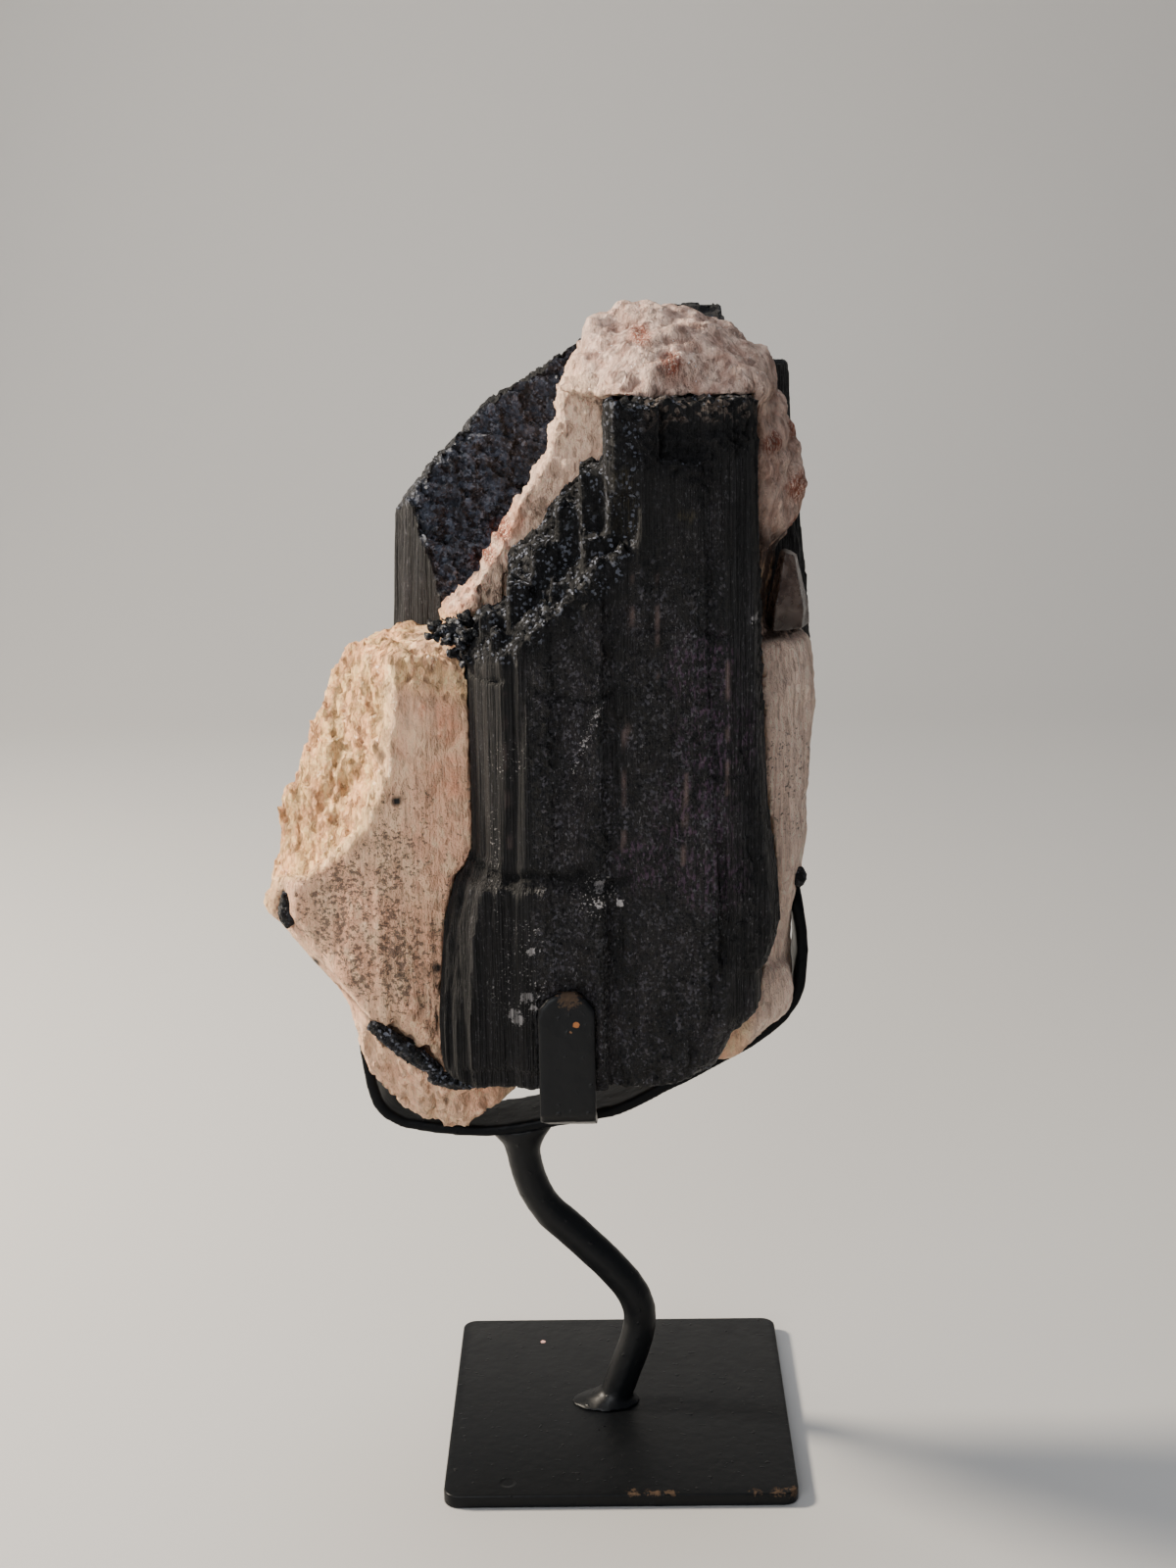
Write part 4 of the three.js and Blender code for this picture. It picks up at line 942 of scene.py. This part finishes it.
class MINERAL_OT_rear_crystals(bpy.types.Operator):
    """Build the rear crystals, smooth and lined on the left and broken across in front"""

    bl_idname = "mineral.rear_crystals"
    bl_label = "Rear crystals"

    def execute(self, context):
        settings = context.scene.mineral
        piece = copy_of_node("rear_tourmaline_fluted", "rear_tourmaline")
        remesh(piece, settings.crystal_voxel / MM * 1.1)
        points, normals = read_points(piece)
        x, y, z = points.T
        upright = np.abs(normals[:, 2])
        flank = fall(-50, -44, x)
        tops = step(0.45, 0.8, upright)

        # The slope where the left crystal is broken across, with a ragged edge.
        slope = ((x + 46.0) * 0.3 - (y - 1.0) * 0.85 + (z - 246.0) * 0.33) / 0.96
        slope = step(-5, -3.4, slope + 1.6 * field(points, 3.4, 12))
        slope = slope * fall(12, 14, x) * step(0, 0.3, normals[:, 2])
        broken = np.clip(slope + step(0.45, 0.7, upright), 0, 1)
        plates, _ = facets(points, 5.2, 3, 0.8, 1.3)
        chips, cracks = facets(points, 2.6, 7)
        rough = 0.85 * plates + 0.75 * chips + 1.1 * field(points, 8, 2) - 0.4 * fall(0, 0.1, cracks)

        # The relief only goes inwards high up, so that nothing shows above the cap.
        high = step(296, 306, z)
        rough = np.minimum(rough - 0.25 - 0.35 * high, 0.9 - 0.6 * high)
        rough -= 0.9 * np.maximum(field(points, 3, 33), 0)
        side = fluted_relief(points, np.maximum(flank, 0.4)) * (1 - broken)
        moved = points + normals * (side - 0.25)[:, None] * SIDEWAYS
        moved += normals * (np.maximum(rough - 0.6 * tops, -2) * broken)[:, None]
        moved[:, 2] = np.where(z > 290, np.minimum(moved[:, 2], z), moved[:, 2])
        below = step(0.5, 0.8, -normals[:, 2])
        moved[:, 2] += below * (2.4 * columns(x, y, 4.4, 3) + 1.2 * columns(x, y, 2.3, 4))
        # The rear crystals' broken faces get four times the painted sheen, as more light falls on them.
        finish_piece(
            piece, moved, tourmaline_material(settings, "Rear tourmaline", ("broken", "flank", "rust"), 4),
            # The flat tops lose most of the bluish sheen and are darkened: painted shade on the tops.
            lined=np.ones(len(points)), broken=broken * (1 - 0.75 * tops), flank=flank * (1 - broken),
            rust=spots(points, CRYSTAL["rust"]) * step(0.2, 0.5, -normals[:, 1]), dull=tops)
        return {"FINISHED"}


class MINERAL_OT_inclusions(bpy.types.Operator):
    """Build the small tourmalines in the feldspar and the wedge of smoky quartz"""

    bl_idname = "mineral.inclusions"
    bl_label = "Small pieces"

    def execute(self, context):
        black = tourmaline_material(context.scene.mineral, "Small tourmaline", ("broken",))
        for node in ("tourmaline_knob_left", "tourmaline_knob_right", "tourmaline_sliver"):
            piece = copy_of_node(node + "_broken", node)
            remesh(piece, 0.35)
            points, normals = read_points(piece)
            chips, _ = facets(points, 1.5, 2)
            points += normals * (0.3 * chips)[:, None]
            finish_piece(piece, points, black, broken=np.full(len(points), 0.8))
        wedge = copy_of_node("smoky_quartz_wedge", "smoky_quartz")
        remesh(wedge, 0.5, 2)
        smooth(wedge)
        wedge.data.materials.append(quartz_material())
        return {"FINISHED"}


class MINERAL_OT_stage(bpy.types.Operator):
    """Set up the pale floor, the soft lights and the camera"""

    bl_idname = "mineral.stage"
    bl_label = "Stage"

    def execute(self, context):
        settings = context.scene.mineral_stage
        self.make_floor()
        self.make_light("Key light", (-0.95, 0.18, 0.72), (0.0, 0.0, 0.19), 0.2, settings.key_power,
                        (1.0, 0.88, 0.72))
        self.make_light("Top light", (-0.1, 0.45, 1.5), (0.0, 0.35, 0.0), 0.9, settings.top_power,
                        (0.93, 0.96, 1.0))
        self.make_light("Fill light", (-0.5, -1.1, 0.6), (0.0, 0.0, 0.18), 0.8, settings.fill_power,
                        (0.95, 0.97, 1.0))
        self.make_world()
        self.make_camera(settings)
        return {"FINISHED"}

    def make_floor(self):
        mesh = bpy.data.meshes.new("floor")
        sheet = bmesh.new()
        bmesh.ops.create_grid(sheet, x_segments=1, y_segments=1, size=1.0)
        bmesh.ops.scale(sheet, vec=(3.0, 1.6, 1.0), verts=sheet.verts)
        bmesh.ops.translate(sheet, vec=(0.0, -0.7, 0.0), verts=sheet.verts)
        back = [edge for edge in sheet.edges if all(vert.co.y > 0.8 for vert in edge.verts)]
        bmesh.ops.spin(sheet, geom=back + [vert for edge in back for vert in edge.verts],
                       cent=(0.0, 0.9, 0.5), axis=(1.0, 0.0, 0.0), angle=math.radians(90), steps=16,
                       use_merge=False, use_duplicate=False)
        top = [edge for edge in sheet.edges if edge.is_boundary
               and all(vert.co.z > 0.45 for vert in edge.verts)
               and abs(edge.verts[0].co.x - edge.verts[1].co.x) > 1.0]
        raised = bmesh.ops.extrude_edge_only(sheet, edges=top)
        bmesh.ops.translate(sheet, vec=(0.0, 0.0, 2.5),
                            verts=[item for item in raised["geom"] if isinstance(item, bmesh.types.BMVert)])
        sheet.to_mesh(mesh)
        sheet.free()
        floor = bpy.data.objects.new("floor", mesh)
        bpy.context.scene.collection.objects.link(floor)
        smooth(floor)
        mesh.materials.append(floor_material())

    def make_light(self, name, place, target, size, power, colour):
        data = bpy.data.lights.new(name, "AREA")
        data.shape = "DISK"
        data.size = size
        data.energy = power
        data.color = colour
        light = bpy.data.objects.new(name, data)
        light.location = place
        light.rotation_mode = "QUATERNION"
        light.rotation_quaternion = (Vector(target) - Vector(place)).to_track_quat("-Z", "Y")
        bpy.context.scene.collection.objects.link(light)

    def make_world(self):
        world = bpy.data.worlds.new("Soft room")
        world.use_nodes = True
        background = world.node_tree.nodes["Background"]
        background.inputs["Color"].default_value = (0.86, 0.9, 1.0, 1.0)
        background.inputs["Strength"].default_value = 0.2
        bpy.context.scene.world = world

    def make_camera(self, settings):
        data = bpy.data.cameras.new("Camera")
        data.sensor_width = 36.0
        data.lens = settings.focal_length
        data.dof.use_dof = False
        camera = bpy.data.objects.new("Camera", data)
        camera.location = (0.0002, -settings.camera_distance, settings.camera_height)
        yaw, roll = math.radians(-0.66), math.radians(-0.91)
        pitch = settings.camera_pitch
        forward = Vector((math.sin(yaw) * math.cos(pitch), math.cos(yaw) * math.cos(pitch), -math.sin(pitch)))
        right = forward.cross(Vector((0.0, 0.0, 1.0))).normalized()
        above = right.cross(forward)
        turned_right = right * math.cos(roll) + above * math.sin(roll)
        turned_up = above * math.cos(roll) - right * math.sin(roll)
        camera.rotation_mode = "QUATERNION"
        camera.rotation_quaternion = Matrix((turned_right, turned_up, -forward)).transposed().to_quaternion()
        bpy.context.scene.collection.objects.link(camera)
        bpy.context.scene.camera = camera


class MINERAL_PT_panel(bpy.types.Panel):
    """Settings and build steps of the display stone"""

    bl_label = "Tourmaline on feldspar"
    bl_idname = "MINERAL_PT_panel"
    bl_space_type = "VIEW_3D"
    bl_region_type = "UI"
    bl_category = "Mineral"

    def draw(self, context):
        column = self.layout.column()
        for name in MineralSettings.__annotations__:
            column.prop(context.scene.mineral, name)
        for name in StageSettings.__annotations__:
            column.prop(context.scene.mineral_stage, name)
        for operator in BUILD_ORDER:
            column.operator(operator.bl_idname)


BUILD_ORDER = (
    MINERAL_OT_base_plate,
    MINERAL_OT_stand,
    MINERAL_OT_feldspar,
    MINERAL_OT_front_crystal,
    MINERAL_OT_rear_crystals,
    MINERAL_OT_inclusions,
    MINERAL_OT_stage,
)
CLASSES = (MineralSettings, StageSettings, *BUILD_ORDER, MINERAL_PT_panel)


def register():
    for item in CLASSES:
        bpy.utils.register_class(item)
    bpy.types.Scene.mineral = bpy.props.PointerProperty(type=MineralSettings)
    bpy.types.Scene.mineral_stage = bpy.props.PointerProperty(type=StageSettings)


def unregister():
    del bpy.types.Scene.mineral_stage
    del bpy.types.Scene.mineral
    for item in reversed(CLASSES):
        bpy.utils.unregister_class(item)


def main():
    """Builds every piece and the stage."""
    register()
    for operator in BUILD_ORDER:
        group, name = operator.bl_idname.split(".")
        getattr(getattr(bpy.ops, group), name)()


if __name__ == "__main__":
    main()
